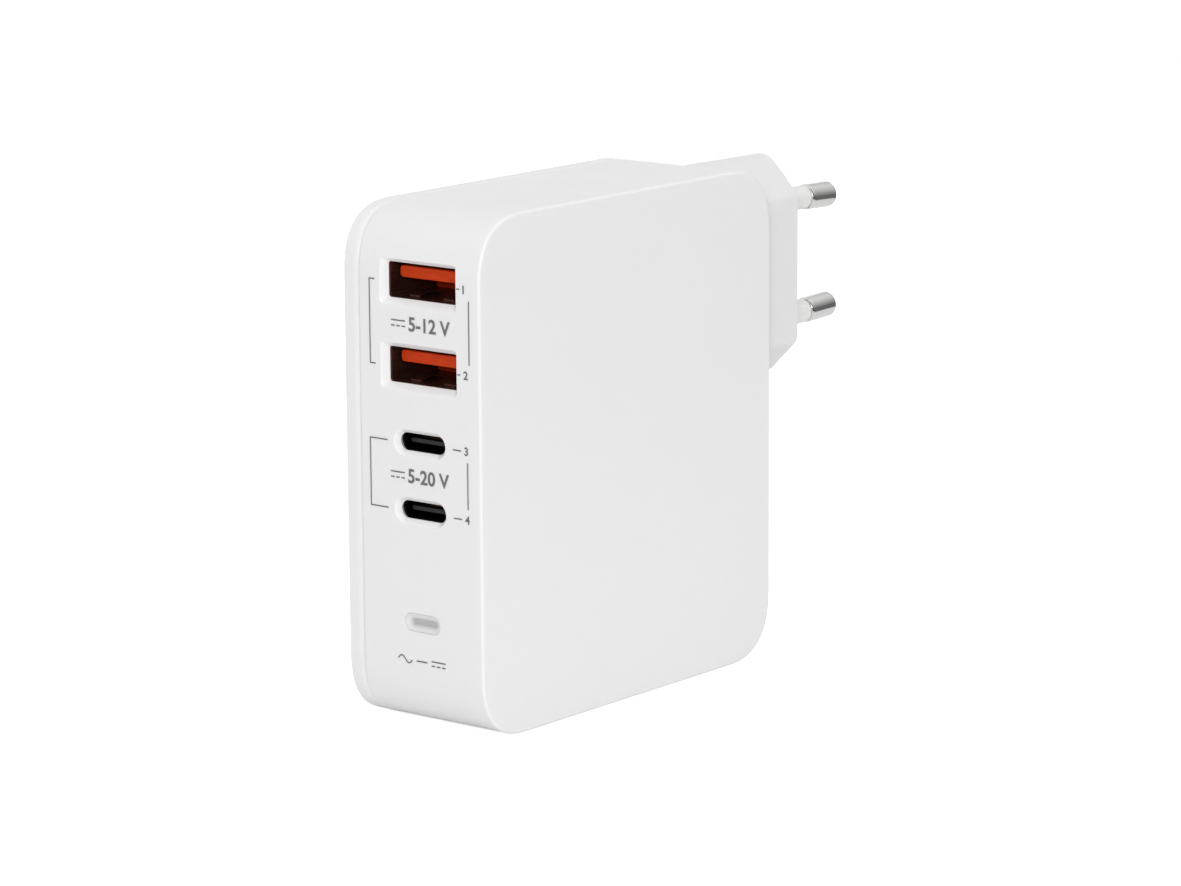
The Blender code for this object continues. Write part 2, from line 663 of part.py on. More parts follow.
def can(name, foot, axis, diameter, length, material):
    """Electrolytic can: rolled groove near the seal and a broken top edge."""
    r = diameter / 2
    g = CAN_GROOVE
    return turned(name, [(0, r), (2 * g, r), (3 * g, r - g), (4 * g, r), (length - g, r),
                         (length, r - g)], foot, axis, material)


def disc_capacitor(name, y, z, diameter, thickness, material):
    """Dipped disc standing on two wires; the disc faces up and down."""
    r = diameter / 2
    centre_x = PART_BASE + PART_SPACE + r
    edge = thickness / 4
    disc = turned(name, [(-thickness / 2, r - edge), (-edge, r), (edge, r),
                         (thickness / 2, r - edge)], (centre_x, y, z), (0, 0, 1), material)
    for i, offset in enumerate((-r / 2, r / 2)):
        join(disc, turned(f"{name}_wire_{i}", [(0, LEAD_RADIUS), (PART_SPACE + r, LEAD_RADIUS)],
                          (PART_BASE, y + offset, z), (1, 0, 0), material,
                          steps=LEAD_STEPS))
    return disc


def section_ring(z, half_x, half_y, radius):
    """A round-cornered outline about the transformer's axis, at one height."""
    outline = soft_rectangle(2 * half_x, 2 * half_y, radius, 3)
    return [(CORE_X + x, CORE_Y + y, z) for x, y in outline]


def transformer():
    """Ferrite frame with a middle leg, a flanged bobbin on the leg and the taped winding."""
    half_y = CORE_WIDTH / 2
    half_z = CORE_LENGTH / 2
    half_x = CORE_THICKNESS / 2
    leg = CORE_LEG / 2
    window_out = half_y - CORE_SIDE
    window_z = half_z - CORE_CHEEK
    core = bevelled_box("transformer_core", (CORE_X - half_x, CORE_FRONT, CORE_Z - half_z),
                        (CORE_X + half_x, CORE_BACK, CORE_Z + half_z), BROKEN_EDGE, FERRITE)
    for side in (-1, 1):
        near, far = sorted((CORE_Y + side * leg, CORE_Y + side * window_out))
        cut(core, box(f"core_window_{side}", (CORE_X - half_x - WALL, near, CORE_Z - window_z),
                      (CORE_X + half_x + WALL, far, CORE_Z + window_z), FERRITE))

    barrel_x = half_x + GAP + BOBBIN_WALL
    barrel_y = leg + GAP + BOBBIN_WALL
    flange_x = (CORE_TOP - PART_BASE) / 2
    flange_y = window_out - GAP
    end = window_z - GAP
    inner = end - BOBBIN_WALL
    soft = BOBBIN_WALL / 2
    bobbin = loft("transformer_bobbin", [
        section_ring(CORE_Z - end, flange_x, flange_y, soft),
        section_ring(CORE_Z - inner, flange_x, flange_y, soft),
        section_ring(CORE_Z - inner, barrel_x, barrel_y, soft),
        section_ring(CORE_Z + inner, barrel_x, barrel_y, soft),
        section_ring(CORE_Z + inner, flange_x, flange_y, soft),
        section_ring(CORE_Z + end, flange_x, flange_y, soft)], EPOXY)
    cut(bobbin, box("bobbin_bore", (CORE_X - half_x - GAP, CORE_Y - leg - GAP, CORE_LOW),
                    (CORE_X + half_x + GAP, CORE_Y + leg + GAP, CORE_LOW + CORE_LENGTH), EPOXY))

    wind = inner - GAP
    winding = loft("transformer_winding", [
        section_ring(CORE_Z + side * wind, flange_x - GAP, flange_y, BOBBIN_WALL)
        for side in (-1, 1)], COPPER_TAPE)
    cut(winding, loft("winding_bore", [
        section_ring(CORE_Z + side * end, barrel_x + GAP, barrel_y + GAP, soft)
        for side in (-1, 1)], COPPER_TAPE))


def choke():
    """Common-mode choke: a toroid on a base plate with one winding on each side."""
    outer = CHOKE_DIAMETER / 2
    bore = CHOKE_BORE / 2
    middle = Vector((PART_BASE + CHOKE_BASE + GAP, MAINS_ROW_Y, CHOKE_Z))
    base = bevelled_box("choke_base", (PART_BASE, MAINS_ROW_Y - outer, CHOKE_Z - outer),
                        (PART_BASE + CHOKE_BASE, MAINS_ROW_Y + outer, CHOKE_Z + outer),
                        BROKEN_EDGE, EPOXY)
    wire = CHOKE_WIRE
    ring_outer = outer - wire - GAP
    ring_bore = bore + wire + GAP
    height = CHOKE_HEIGHT
    core = turned("choke_core", [(wire + GAP, ring_outer), (height - wire - GAP, ring_outer)],
                  middle, (1, 0, 0), FERRITE)
    cut(core, turned("choke_core_bore", [(0, ring_bore), (height, ring_bore)],
                     middle, (1, 0, 0), FERRITE))
    for name, side in (("front", -1), ("back", 1)):
        winding = turned(f"choke_winding_{name}", [(0, outer), (height, outer)],
                         middle, (1, 0, 0), COPPER_WIRE)
        cut(winding, turned(f"choke_{name}_bore", [(-WALL, bore), (height + WALL, bore)],
                            middle, (1, 0, 0), COPPER_WIRE))
        tunnel = turned(f"choke_{name}_tunnel",
                        [(wire, ring_outer + GAP), (height - wire, ring_outer + GAP)],
                        middle, (1, 0, 0), COPPER_WIRE)
        cut(tunnel, turned(f"choke_{name}_tunnel_bore",
                           [(-WALL, ring_bore - GAP), (height + WALL, ring_bore - GAP)],
                           middle, (1, 0, 0), COPPER_WIRE))
        cut(winding, tunnel)
        reach = side * (outer + WALL)
        near, far = sorted((-reach, side * CHOKE_SPLIT / 2))
        cut(winding, box(f"choke_{name}_split",
                         (middle.x - WALL, MAINS_ROW_Y + near, CHOKE_Z - outer - WALL),
                         (middle.x + height + WALL, MAINS_ROW_Y + far, CHOKE_Z + outer + WALL),
                         COPPER_WIRE))
    return base


def output_parts():
    """Polymer capacitors down from the top and buck inductors up from the base."""
    for i in range(OUTPUT_CAN_COUNT):
        pitch = OUTPUT_CAN_DIAMETER + PART_SPACE
        z = RIB_CLEAR_HIGH - OUTPUT_CAN_DIAMETER / 2 - i * pitch
        can(f"output_capacitor_{i + 1}", (PART_BASE, OUTPUT_ROW_Y, z), (1, 0, 0),
            OUTPUT_CAN_DIAMETER, OUTPUT_CAN_HEIGHT, CAN_METAL)
    half = OUTPUT_ROW_DEPTH / 2
    for i, name in enumerate(("lower", "upper")):
        z = RIB_CLEAR_LOW + half + i * (OUTPUT_ROW_DEPTH + PART_SPACE)
        bevelled_box(f"output_inductor_{name}", (PART_BASE, OUTPUT_ROW_Y - half, z - half),
                     (PART_BASE + INDUCTOR_HEIGHT, OUTPUT_ROW_Y + half, z + half),
                     PART_SPACE, FERRITE)


def mains_parts():
    """Fuse, rectifier and filter capacitors between the pins and the transformer."""
    half = MAINS_ROW_DEPTH / 2
    turned("fuse", [(0, FUSE_DIAMETER / 2), (FUSE_HEIGHT - BROKEN_EDGE, FUSE_DIAMETER / 2),
                    (FUSE_HEIGHT, FUSE_DIAMETER / 2 - BROKEN_EDGE)],
           (PART_BASE, MAINS_ROW_Y, FUSE_Z), (1, 0, 0), EPOXY)
    bevelled_box("bridge_rectifier",
                 (PART_BASE, MAINS_ROW_Y - BRIDGE_WIDTH / 2, BRIDGE_Z - BRIDGE_LENGTH / 2),
                 (PART_BASE + BRIDGE_HEIGHT, MAINS_ROW_Y + BRIDGE_WIDTH / 2,
                  BRIDGE_Z + BRIDGE_LENGTH / 2), BROKEN_EDGE, EPOXY)
    bevelled_box("x_capacitor", (PART_BASE, MAINS_ROW_Y - half, X_CAPACITOR_LOW),
                 (PART_BASE + X_CAPACITOR_HEIGHT, MAINS_ROW_Y + half, X_CAPACITOR_HIGH),
                 BROKEN_EDGE, YELLOW_BOX)
    for name, z in (("lower", BULK_LOWER_Z), ("upper", BULK_UPPER_Z)):
        can(f"bulk_capacitor_{name}", (PART_BASE + BULK_CAN_DIAMETER / 2, BULK_BACK, z),
            (0, -1, 0), BULK_CAN_DIAMETER, BULK_CAN_LENGTH, CAN_SLEEVE)


def middle_parts():
    """Small parts above and below the transformer."""
    r = (BULK_FRONT - CORE_FRONT - 3 * PART_SPACE) / 2
    lip = PART_SPACE
    line_y = (CORE_FRONT + BULK_FRONT - PART_SPACE) / 2
    line_z = RIB_CLEAR_LOW + r
    turned("line_inductor", [(0, r), (lip, r), (lip, r - lip),
                             (LINE_INDUCTOR_HEIGHT - lip, r - lip), (LINE_INDUCTOR_HEIGHT - lip, r),
                             (LINE_INDUCTOR_HEIGHT, r)],
           (PART_BASE, line_y, line_z), (1, 0, 0), FERRITE)
    disc_capacitor("varistor", line_y, line_z + r + PART_SPACE + DISC_THICKNESS / 2,
                   DISC_DIAMETER, DISC_THICKNESS, BLUE_DISC)
    above = CORE_LOW + CORE_LENGTH + PART_SPACE
    disc_capacitor("y_capacitor", CORE_Y, above + DISC_THICKNESS / 2,
                   DISC_DIAMETER, DISC_THICKNESS, BLUE_DISC)
    coupler_low = above + DISC_THICKNESS + PART_SPACE
    bevelled_box("optocoupler", (PART_BASE, CORE_Y - COUPLER_LENGTH / 2, coupler_low),
                 (PART_BASE + COUPLER_HEIGHT, CORE_Y + COUPLER_LENGTH / 2,
                  coupler_low + COUPLER_WIDTH), BROKEN_EDGE, EPOXY)


def chips():
    """Flat packages: three on the solder side of the main board, two on the port board."""
    high = BOARD_LEFT - GAP
    power = POWER_CHIP_SIDE / 2
    spots = {"power_switch": (CORE_Y, CORE_LOW + CORE_LENGTH, power),
             "mains_controller": (MAINS_ROW_Y, CORE_Z, CONTROL_CHIP_SIDE / 2),
             "sync_rectifier": (OUTPUT_ROW_Y, CORE_Z, CONTROL_CHIP_SIDE / 2)}
    for name, (y, z, half) in spots.items():
        box(name, (high - CHIP_HEIGHT, y - half, z - half), (high, y + half, z + half), EPOXY)
    front = PORT_BOARD_BACK + GAP
    half = CONTROL_CHIP_SIDE / 2
    for name, levels in (("port_controller_upper", USB_A_LEVELS),
                         ("port_controller_lower", USB_C_LEVELS)):
        z = (levels["upper"] + levels["lower"]) / 2
        box(name, (PORT_X - half, front, z - half), (PORT_X + half, front + CHIP_HEIGHT, z + half),
            EPOXY)


def board_header():
    """Pin header that joins the two boards."""
    middle = (BOARD_LOW + BOARD_HIGH) / 2
    return bevelled_box("board_header", (PART_BASE, BOARD_FRONT, middle - HEADER_LENGTH / 2),
                        (PART_BASE + HEADER_HEIGHT, HEADER_BACK, middle + HEADER_LENGTH / 2),
                        BROKEN_EDGE, EPOXY)


def heat_path():
    """Thermal pad on the transformer, aluminium spreader and the film that insulates it."""
    bevelled_box("thermal_pad", (PAD_LEFT, CORE_FRONT, CORE_LOW),
                 (PAD_LEFT + PAD_THICKNESS, CORE_BACK, CORE_LOW + CORE_LENGTH), BROKEN_EDGE,
                 PAD_GREY)
    front = OUTPUT_ROW_Y - OUTPUT_ROW_DEPTH / 2
    back = MAINS_ROW_Y + MAINS_ROW_DEPTH / 2
    box("heat_spreader", (SPREADER_LEFT, front, RIB_CLEAR_LOW),
        (SPREADER_RIGHT, back, RIB_CLEAR_HIGH), ALUMINIUM)
    box("insulation_sheet", (SHEET_RIGHT - SHEET_THICKNESS, PORT_BOARD_BACK + GAP,
                             WALL + RIB_HEIGHT + GAP),
        (SHEET_RIGHT, BOARD_BACK, TOP - WALL - RIB_HEIGHT - GAP), FILM)


# ---------------------------------------------------------------- assembly

for build in (main_housing, side_cover, plug_block):
    build()
for place_name, side in (("upper", 1), ("lower", -1)):
    pin(f"pin_{place_name}", side)
    pin_sleeve(f"pin_sleeve_{place_name}", side)
    pin_clip(f"pin_clip_{place_name}", side)
for place_name, level in USB_A_LEVELS.items():
    usb_a_shell(f"usb_a_shell_{place_name}", level)
    usb_a_insulator(f"usb_a_tongue_{place_name}", level)
for place_name, level in USB_C_LEVELS.items():
    usb_c_shell(f"usb_c_shell_{place_name}", level)
    usb_c_insulator(f"usb_c_tongue_{place_name}", level)
for build in (light_pipe, status_led, port_board, main_board, board_header, transformer, choke,
              output_parts, mains_parts, middle_parts, chips, heat_path):
    build()
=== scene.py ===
"""Looks of a four-port wall charger with a fixed two-pin plug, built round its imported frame.

X runs across the thickness (the wide faces are -X and +X), the ports face -Y, the plug points
to +Y and +Z is up. The frame is in metres, so sizes are millimetres times MM.
"""

import math

import bmesh
import bpy
from mathutils import Matrix, Vector


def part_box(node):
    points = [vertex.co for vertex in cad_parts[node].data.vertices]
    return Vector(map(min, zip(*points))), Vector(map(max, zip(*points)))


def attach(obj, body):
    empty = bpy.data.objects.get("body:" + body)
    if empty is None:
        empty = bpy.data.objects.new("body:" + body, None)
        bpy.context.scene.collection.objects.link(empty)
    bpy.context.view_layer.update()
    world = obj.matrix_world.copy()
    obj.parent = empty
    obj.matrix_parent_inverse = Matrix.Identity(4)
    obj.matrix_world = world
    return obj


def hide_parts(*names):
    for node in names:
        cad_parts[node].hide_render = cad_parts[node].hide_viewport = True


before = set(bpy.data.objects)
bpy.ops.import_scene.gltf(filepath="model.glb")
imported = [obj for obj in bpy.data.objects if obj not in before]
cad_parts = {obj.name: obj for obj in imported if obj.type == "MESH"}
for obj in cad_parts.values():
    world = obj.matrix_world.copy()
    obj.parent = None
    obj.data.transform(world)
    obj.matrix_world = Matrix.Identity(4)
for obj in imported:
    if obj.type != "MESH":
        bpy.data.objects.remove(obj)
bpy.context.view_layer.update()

# ---------------------------------------------------------------- main housing
# The tub of the casing: front, top, base, back and one wide side in one moulding of white
# polycarbonate. Its soft corners come from the mould. The ports, the light window and the plug
# head fit through it, and the side cover is welded to its open side.

MM = 0.001
WALL = 2.0 * MM
CORNER_REACH = 10.4 * MM
CORNER_POWER = 2.6
CORNER_STEPS = 18
EDGE_FILLET = 0.42 * MM
SEAM_RUN = 0.4 * MM
SEAM_DEPTH = 0.38 * MM
SEAM_OVERLAP = 0.05 * MM
INK_THICKNESS = 0.02 * MM
GAP = 0.3 * MM
CUT_OVER = 0.5 * MM
WINDOW_WIDTH = 6.6 * MM
WINDOW_HEIGHT = 2.6 * MM
WINDOW_EDGE = 0.18 * MM
PLUG_CLEARANCE = 0.06 * MM
RIB_THICKNESS = 1.2 * MM
RIB_HEIGHT = 2.6 * MM
LEDGE_WIDTH = 3.0 * MM
MOULD_GRAIN = 0.22 * MM
MOULD_CLOUD = 9.0 * MM
SCATTER = 0.8 * MM


def linear(code):
    """A colour written as sRGB hex, turned to linear red, green and blue with alpha."""
    parts = [int(code[i:i + 2], 16) / 255 for i in (1, 3, 5)]
    return [c / 12.92 if c <= 0.04045 else ((c + 0.055) / 1.055) ** 2.4 for c in parts] + [1.0]


def add(tree, kind, settings, links):
    """Add one node. Settings go to its sockets or properties, links feed its sockets."""
    node = tree.nodes.new(kind)
    for key, value in settings.items():
        if isinstance(key, int) or key in node.inputs:
            node.inputs[key].default_value = value
        else:
            setattr(node, key, value)
    for key, source in links.items():
        tree.links.new(source, node.inputs[key])
    return node


def surface(name, tones, rough, texture, depth, settings, stretch=(1, 1, 1), span=(0.35, 0.65)):
    """A material with one pattern: two tones and a relief follow it, and gloss drifts slowly.

    texture is (node kind, its settings), span is the part of its values that the tones take,
    stretch draws it out along an axis, and depth is its real height in metres.
    """
    material = bpy.data.materials.new(name)
    material.use_nodes = True
    tree = material.node_tree
    tree.nodes.clear()
    place = add(tree, "ShaderNodeTexCoord", {}, {}).outputs["Object"]
    laid = add(tree, "ShaderNodeMapping", {"Scale": stretch}, {"Vector": place}).outputs[0]
    pattern = add(tree, texture[0], texture[1], {"Vector": laid}).outputs[0]
    share = add(tree, "ShaderNodeMapRange", {"From Min": span[0], "From Max": span[1]},
                {"Value": pattern}).outputs[0]
    tone = add(tree, "ShaderNodeMix", {"data_type": "RGBA", 6: linear(tones[0]),
                                       7: linear(tones[1])}, {0: share})
    drift = add(tree, "ShaderNodeTexNoise", {"Scale": 1 / MOULD_CLOUD, "Detail": 2.0},
                {"Vector": place}).outputs[0]
    gloss = add(tree, "ShaderNodeMapRange", {"From Min": 0.3, "From Max": 0.7,
                                             "To Min": rough[0], "To Max": rough[1]},
                {"Value": drift})
    relief = add(tree, "ShaderNodeBump", {"Strength": 1.0, "Distance": depth}, {"Height": share})
    shader = add(tree, "ShaderNodeBsdfPrincipled", settings,
                 {"Base Color": tone.outputs[2], "Roughness": gloss.outputs[0],
                  "Normal": relief.outputs[0]})
    add(tree, "ShaderNodeOutputMaterial", {}, {"Surface": shader.outputs[0]})
    return material


def skin(form, rings):
    """Skin one closed solid over rings of equal point count, with flat ends.

    A run that ends with its first ring again closes on itself instead, as a tube's wall does.
    """
    looped = rings[0] is rings[-1]
    loops = [[form.verts.new(point) for point in ring] for ring in rings[:-1]]
    loops.append(loops[0] if looped else [form.verts.new(point) for point in rings[-1]])
    for near, far in zip(loops, loops[1:]):
        for i in range(len(near)):
            j = (i + 1) % len(near)
            form.faces.new((near[i], near[j], far[j], far[i]))
    if not looped:
        form.faces.new(loops[0])
        form.faces.new(list(reversed(loops[-1])))


def solid(name, runs, finish):
    """An object made of one or more skinned solids, in one finish."""
    form = bmesh.new()
    for rings in runs:
        skin(form, rings)
    bmesh.ops.recalc_face_normals(form, faces=form.faces)
    mesh = bpy.data.meshes.new(name)
    form.to_mesh(mesh)
    form.free()
    mesh.materials.append(finish)
    made = bpy.data.objects.new(name, mesh)
    bpy.context.scene.collection.objects.link(made)
    return made


def carve(made, tool, operation="DIFFERENCE"):
    """Cut a shape out of an object, or weld it on, and keep only the result."""
    change = made.modifiers.new("carve", "BOOLEAN")
    change.operation = operation
    change.object = tool
    change.solver = "EXACT"
    change.material_mode = "TRANSFER"
    bpy.context.view_layer.update()
    result = made.evaluated_get(bpy.context.evaluated_depsgraph_get())
    mesh = bpy.data.meshes.new_from_object(result)
    made.modifiers.clear()
    made.data = mesh
    bpy.data.objects.remove(tool)


def soften(made, crease=35):
    """Shade an object smooth, with crisp edges kept and flat faces left flat."""
    made.data.shade_smooth()
    made.data.set_sharp_from_angle(angle=math.radians(crease))
    even = made.modifiers.new("even_faces", "WEIGHTED_NORMAL")
    even.keep_sharp = True


def fillet(radius, steps=6):
    """Pairs (drop below a face, inset of its outline) round its edge, from the face outwards."""
    turns = [i * math.pi / 2 / steps for i in range(steps + 1)]
    return [(radius * (1 - math.cos(t)), radius * (1 - math.sin(t))) for t in turns]


def rounded(corners, steps):
    """Outline through corners (u, v, radius), each one turned as an arc."""
    points = []
    for i, (u, v, radius) in enumerate(corners):
        here = Vector((u, v))
        before = (Vector(corners[i - 1][:2]) - here).normalized()
        after = (Vector(corners[(i + 1) % len(corners)][:2]) - here).normalized()
        half = before.angle(after) / 2
        middle = here + (before + after).normalized() * radius / math.sin(half)
        arm = here + before * radius / math.tan(half) - middle
        for k in range(steps + 1):
            points.append(middle + Matrix.Rotation((math.pi - 2 * half) * k / steps, 2) @ arm)
    return points


def front_ring(centre, y, width, height, radius, steps=8):
    """A round-cornered rectangle about a centre, on a plane that faces the front."""
    u = width / 2
    v = height / 2
    r = min(radius, 0.499 * height)
    outline = rounded(((u, v, r), (-u, v, r), (-u, -v, r), (u, -v, r)), steps)
    return [(centre.x + a, y, centre.z + b) for a, b in outline]


def box_run(low, high):
    """The rings of a plain block between two corners, for skinning."""
    return [[(x, low[1], low[2]), (x, high[1], low[2]), (x, high[1], high[2]),
             (x, low[1], high[2])] for x in (low[0], high[0])]


tub_low, tub_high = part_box("main_housing")
FRONT = tub_low.y + INK_THICKNESS
BACK = tub_high.y
TOP = tub_high.z
RIGHT = tub_high.x


def body_ring(x, inset):
    """The side view of the body at one X: a rectangle with soft, full corners, drawn in."""
    reach = CORNER_REACH - inset
    middle = ((FRONT + BACK) / 2, TOP / 2)
    half = ((BACK - FRONT) / 2 - inset - reach, TOP / 2 - inset - reach)
    points = []
    for i, (su, sv) in enumerate(((1, 1), (-1, 1), (-1, -1), (1, -1))):
        for k in range(CORNER_STEPS + 1):
            step = k if i % 2 == 0 else CORNER_STEPS - k
            angle = step * math.pi / 2 / CORNER_STEPS
            u = half[0] + reach * abs(math.cos(angle)) ** (2 / CORNER_POWER)
            v = half[1] + reach * abs(math.sin(angle)) ** (2 / CORNER_POWER)
            points.append((x, middle[0] + su * u, middle[1] + sv * v))
    return points


def plug_ring(y, grow):
    """The plug head's outline at one Y: two flanks and two pointed ends, all corners round."""
    side = PLUG_WIDTH / 2 + grow
    flank = PLUG_STRAIGHT / 2 + grow * math.tan(PLUG_TURN / 2)
    apex = PLUG_APEX_RADIUS + grow
    shoulder = PLUG_SHOULDER_RADIUS + grow
    outline = rounded(((0, flank + side, apex), (-side, flank, shoulder),
                       (-side, -flank, shoulder), (0, -flank - side, apex),
                       (side, -flank, shoulder), (side, flank, shoulder)), PLUG_STEPS)
    return [(x, y, PLUG_Z + z) for x, z in outline]


# Satin polycarbonate: nearly neutral white, a broad soft sheen from the fine eroded mould face,
# and light that spreads a little way inside it, so that thin edges and grooves stay pale.
# The real grain is about 0.06 mm; it is drawn at 0.22 mm so that it still shows.
polycarbonate = surface("satin_moulded_polycarbonate", ("#EAEAEA", "#E8E8E8"), (0.33, 0.42),
                        ("ShaderNodeTexNoise", {"Scale": 1 / MOULD_GRAIN, "Detail": 3.0}),
                        0.0012 * MM, {"IOR": 1.58, "Specular IOR Level": 0.32,
                                      "Subsurface Weight": 0.5, "Subsurface Scale": SCATTER,
                                      "Subsurface Radius": (1.0, 1.0, 1.0)})

# The same plastic polished at the lips of the ports, its colour painted whiter than the casing's:
# painted light that keeps the lips pale beside the shade of the deep mouths.
lip_painted_light = surface("polished_port_lip_painted_light", ("#F8F8F8", "#F4F4F4"), (0.28, 0.36),
                            ("ShaderNodeTexNoise", {"Scale": 1 / MOULD_GRAIN, "Detail": 3.0}),
                            0.0008 * MM, {"IOR": 1.58, "Specular IOR Level": 0.45})

# The plug head passes through the back wall, so the hole takes its outline.
PLUG_WIDTH = 14.0 * MM
PLUG_STRAIGHT = 22.8 * MM
PLUG_TURN = math.radians(45)
PLUG_APEX_RADIUS = 3.4 * MM
PLUG_SHOULDER_RADIUS = 2.0 * MM
PLUG_STEPS = 10
PLUG_DRAFT = 0.2 * MM
plug_low, plug_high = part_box("plug_block")
PLUG_Z = (plug_low.z + plug_high.z) / 2

seam = tub_low.x - SEAM_OVERLAP
inner_right = RIGHT - WALL
rings = [body_ring(RIGHT - drop, inset) for drop, inset in fillet(EDGE_FILLET)]
rings += [body_ring(seam + SEAM_RUN * drop, SEAM_DEPTH * inset)
          for drop, inset in reversed(fillet(1))]
rings += [body_ring(seam, WALL), body_ring(inner_right, WALL)]
housing = solid("charger_housing", [rings], polycarbonate)

board_low, board_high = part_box("port_board")
main_low, main_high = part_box("main_board")
rib_rows = [(board_low.y - GAP - RIB_THICKNESS, RIB_THICKNESS),
            (main_low.y + LEDGE_WIDTH, LEDGE_WIDTH), (main_high.y - 3 * LEDGE_WIDTH, LEDGE_WIDTH)]
for rib_y, rib_width in rib_rows:
    for foot, head in ((WALL / 2, WALL + RIB_HEIGHT), (TOP - WALL - RIB_HEIGHT, TOP - WALL / 2)):
        low = (main_high.x + GAP, rib_y, foot)
        high = (inner_right + WALL / 2, rib_y + rib_width, head)
        carve(housing, solid("rib", [box_run(low, high)], polycarbonate), "UNION")

# Each mouth has its corner radius, the depth of the plastic lip, the width of the lip's chamfer
# and the share of that width by which the corners grow. A radius past half the height is cut
# back to a fully round end.
SHARP_CORNER = 0.4 * MM
FULL_ROUND = 6.6 * MM
TYPE_A = (SHARP_CORNER, 1.2 * MM, 0.8 * MM, 0.25)
TYPE_C = (FULL_ROUND, 0.9 * MM, 0.65 * MM, 1.0)
LIP_TOE = 0.1 * MM
LIP_DRAFT = 0.02 * MM
PORT_POCKET = 0.35 * MM
SHELL_WALL = 0.3 * MM
ports = [("usb_a_shell_upper", TYPE_A), ("usb_a_shell_lower", TYPE_A),
         ("usb_c_shell_upper", TYPE_C), ("usb_c_shell_lower", TYPE_C)]
for node, (corner, lip, chamfer, spread) in ports:
    low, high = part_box(node)
    centre = (low + high) / 2
    pocket = PORT_POCKET + SHELL_WALL
    steps = ((FRONT - CUT_OVER, chamfer * (1 + CUT_OVER / lip)),
             (FRONT + lip - LIP_TOE, LIP_DRAFT), (FRONT + lip, 0),
             (FRONT + lip, pocket), (FRONT + WALL + CUT_OVER, pocket))
    width = high.x - low.x - 2 * SHELL_WALL
    height = high.z - low.z - 2 * SHELL_WALL
    # The cut faces of each mouth take the cutter's lip finish, with its painted light.
    carve(housing, solid("port_cutter", [[
        front_ring(centre, y, width + 2 * grow, height + 2 * grow, corner + spread * grow)
        for y, grow in steps]], lip_painted_light))

pipe_low, pipe_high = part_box("light_pipe")
window = (pipe_low + pipe_high) / 2
steps = [(FRONT - CUT_OVER, WINDOW_EDGE)]
steps += [(FRONT + drop, inset) for drop, inset in fillet(WINDOW_EDGE, 3)]
steps += [(FRONT + WALL + CUT_OVER, 0)]
carve(housing, solid("window_cutter", [[
    front_ring(window, y, WINDOW_WIDTH + 2 * grow, WINDOW_HEIGHT + 2 * grow, WINDOW_HEIGHT)
    for y, grow in steps]], polycarbonate))

carve(housing, solid("plug_hole", [[plug_ring(y, PLUG_DRAFT + PLUG_CLEARANCE)
                                    for y in (plug_low.y, BACK + CUT_OVER)]], polycarbonate))
soften(housing)
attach(housing, "root")
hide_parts("main_housing")

# ---------------------------------------------------------------- side cover
# The shallow lid that closes the other wide side, in the same white polycarbonate. A lip inside
# it finds the tub's walls and is welded there, so the outside shows only a fine seam, with a
# rounded edge on the lid and an almost sharp one on the tub.

COVER_RUN = 0.95 * MM
COVER_DEPTH = 0.66 * MM
COVER_OVERLAP = 0.23 * MM
SEAM_BREAK = 0.3 * MM
LIP_CLEARANCE = 0.3 * MM
LIP_WALL = 1.0 * MM
LIP_DEPTH = 1.5 * MM
cover_low, cover_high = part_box("side_cover")
LEFT = cover_low.x
cover_seam = tub_low.x - SEAM_BREAK
cover_rim = cover_seam + COVER_OVERLAP
lip_outer = WALL + LIP_CLEARANCE
lip_inner = lip_outer + LIP_WALL
rings = [body_ring(LEFT + drop, inset) for drop, inset in fillet(EDGE_FILLET)]
rings += [body_ring(cover_rim - COVER_RUN * drop, COVER_DEPTH * inset)
          for drop, inset in reversed(fillet(1))]
rings += [body_ring(cover_rim, lip_outer), body_ring(cover_seam + LIP_DEPTH, lip_outer),
          body_ring(cover_seam + LIP_DEPTH, lip_inner), body_ring(LEFT + WALL, lip_inner)]
cover = solid("charger_side_cover", [rings], polycarbonate)
for y in (main_low.y + LEDGE_WIDTH, main_high.y - 2 * LEDGE_WIDTH):
    for z in (main_low.z + LEDGE_WIDTH, main_high.z - 2 * LEDGE_WIDTH):
        low = (LEFT + WALL / 2, y, z)
        high = (main_low.x - GAP, y + LEDGE_WIDTH, z + LEDGE_WIDTH)
        carve(cover, solid("post", [box_run(low, high)], polycarbonate), "UNION")
soften(cover)
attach(cover, "root")
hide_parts("side_cover")

# ---------------------------------------------------------------- plug head
# A pointed hexagon of flame-retardant polycarbonate, moulded on its own with two wells for the
# pins and a flange that is trapped behind the back wall. Its mould face is a shade more matt.

PLUG_EDGE = 0.4 * MM
FLANGE_MARGIN = 1.0 * MM
FLANGE_THICKNESS = 1.5 * MM
PIN_SPACING = 18.6 * MM
PIN_TIP_SPACING = 17.4 * MM
PIN_LENGTH = 17.3 * MM
SLEEVE_DIAMETER = 3.7 * MM
WELL_CLEARANCE = 0.12 * MM
WELL_DEPTH = 2.0 * MM
PIN_NECK = 2.4 * MM
PLUG_REAR = plug_high.y


def turned(profile, centre, axis, steps=40):
    """The rings of a turned shape: profile pairs are (distance along the axis, radius)."""
    toward = Vector((0, 0, 1)).rotation_difference(Vector(axis)).to_matrix().to_4x4()
    move = Matrix.Translation(centre) @ toward
    turns = [2 * math.pi * i / steps for i in range(steps)]
    return [[move @ Vector((r * math.cos(t), r * math.sin(t), along)) for t in turns]
            for along, r in profile]


def pin_line(side):
    """Where a pin leaves the rear face and the way it points; the two lean together a little."""
    lean = math.atan2((PIN_SPACING - PIN_TIP_SPACING) / 2, PIN_LENGTH)
    return (Vector((0, PLUG_REAR, PLUG_Z + side * PIN_SPACING / 2)),
            Vector((0, math.cos(lean), -side * math.sin(lean))))


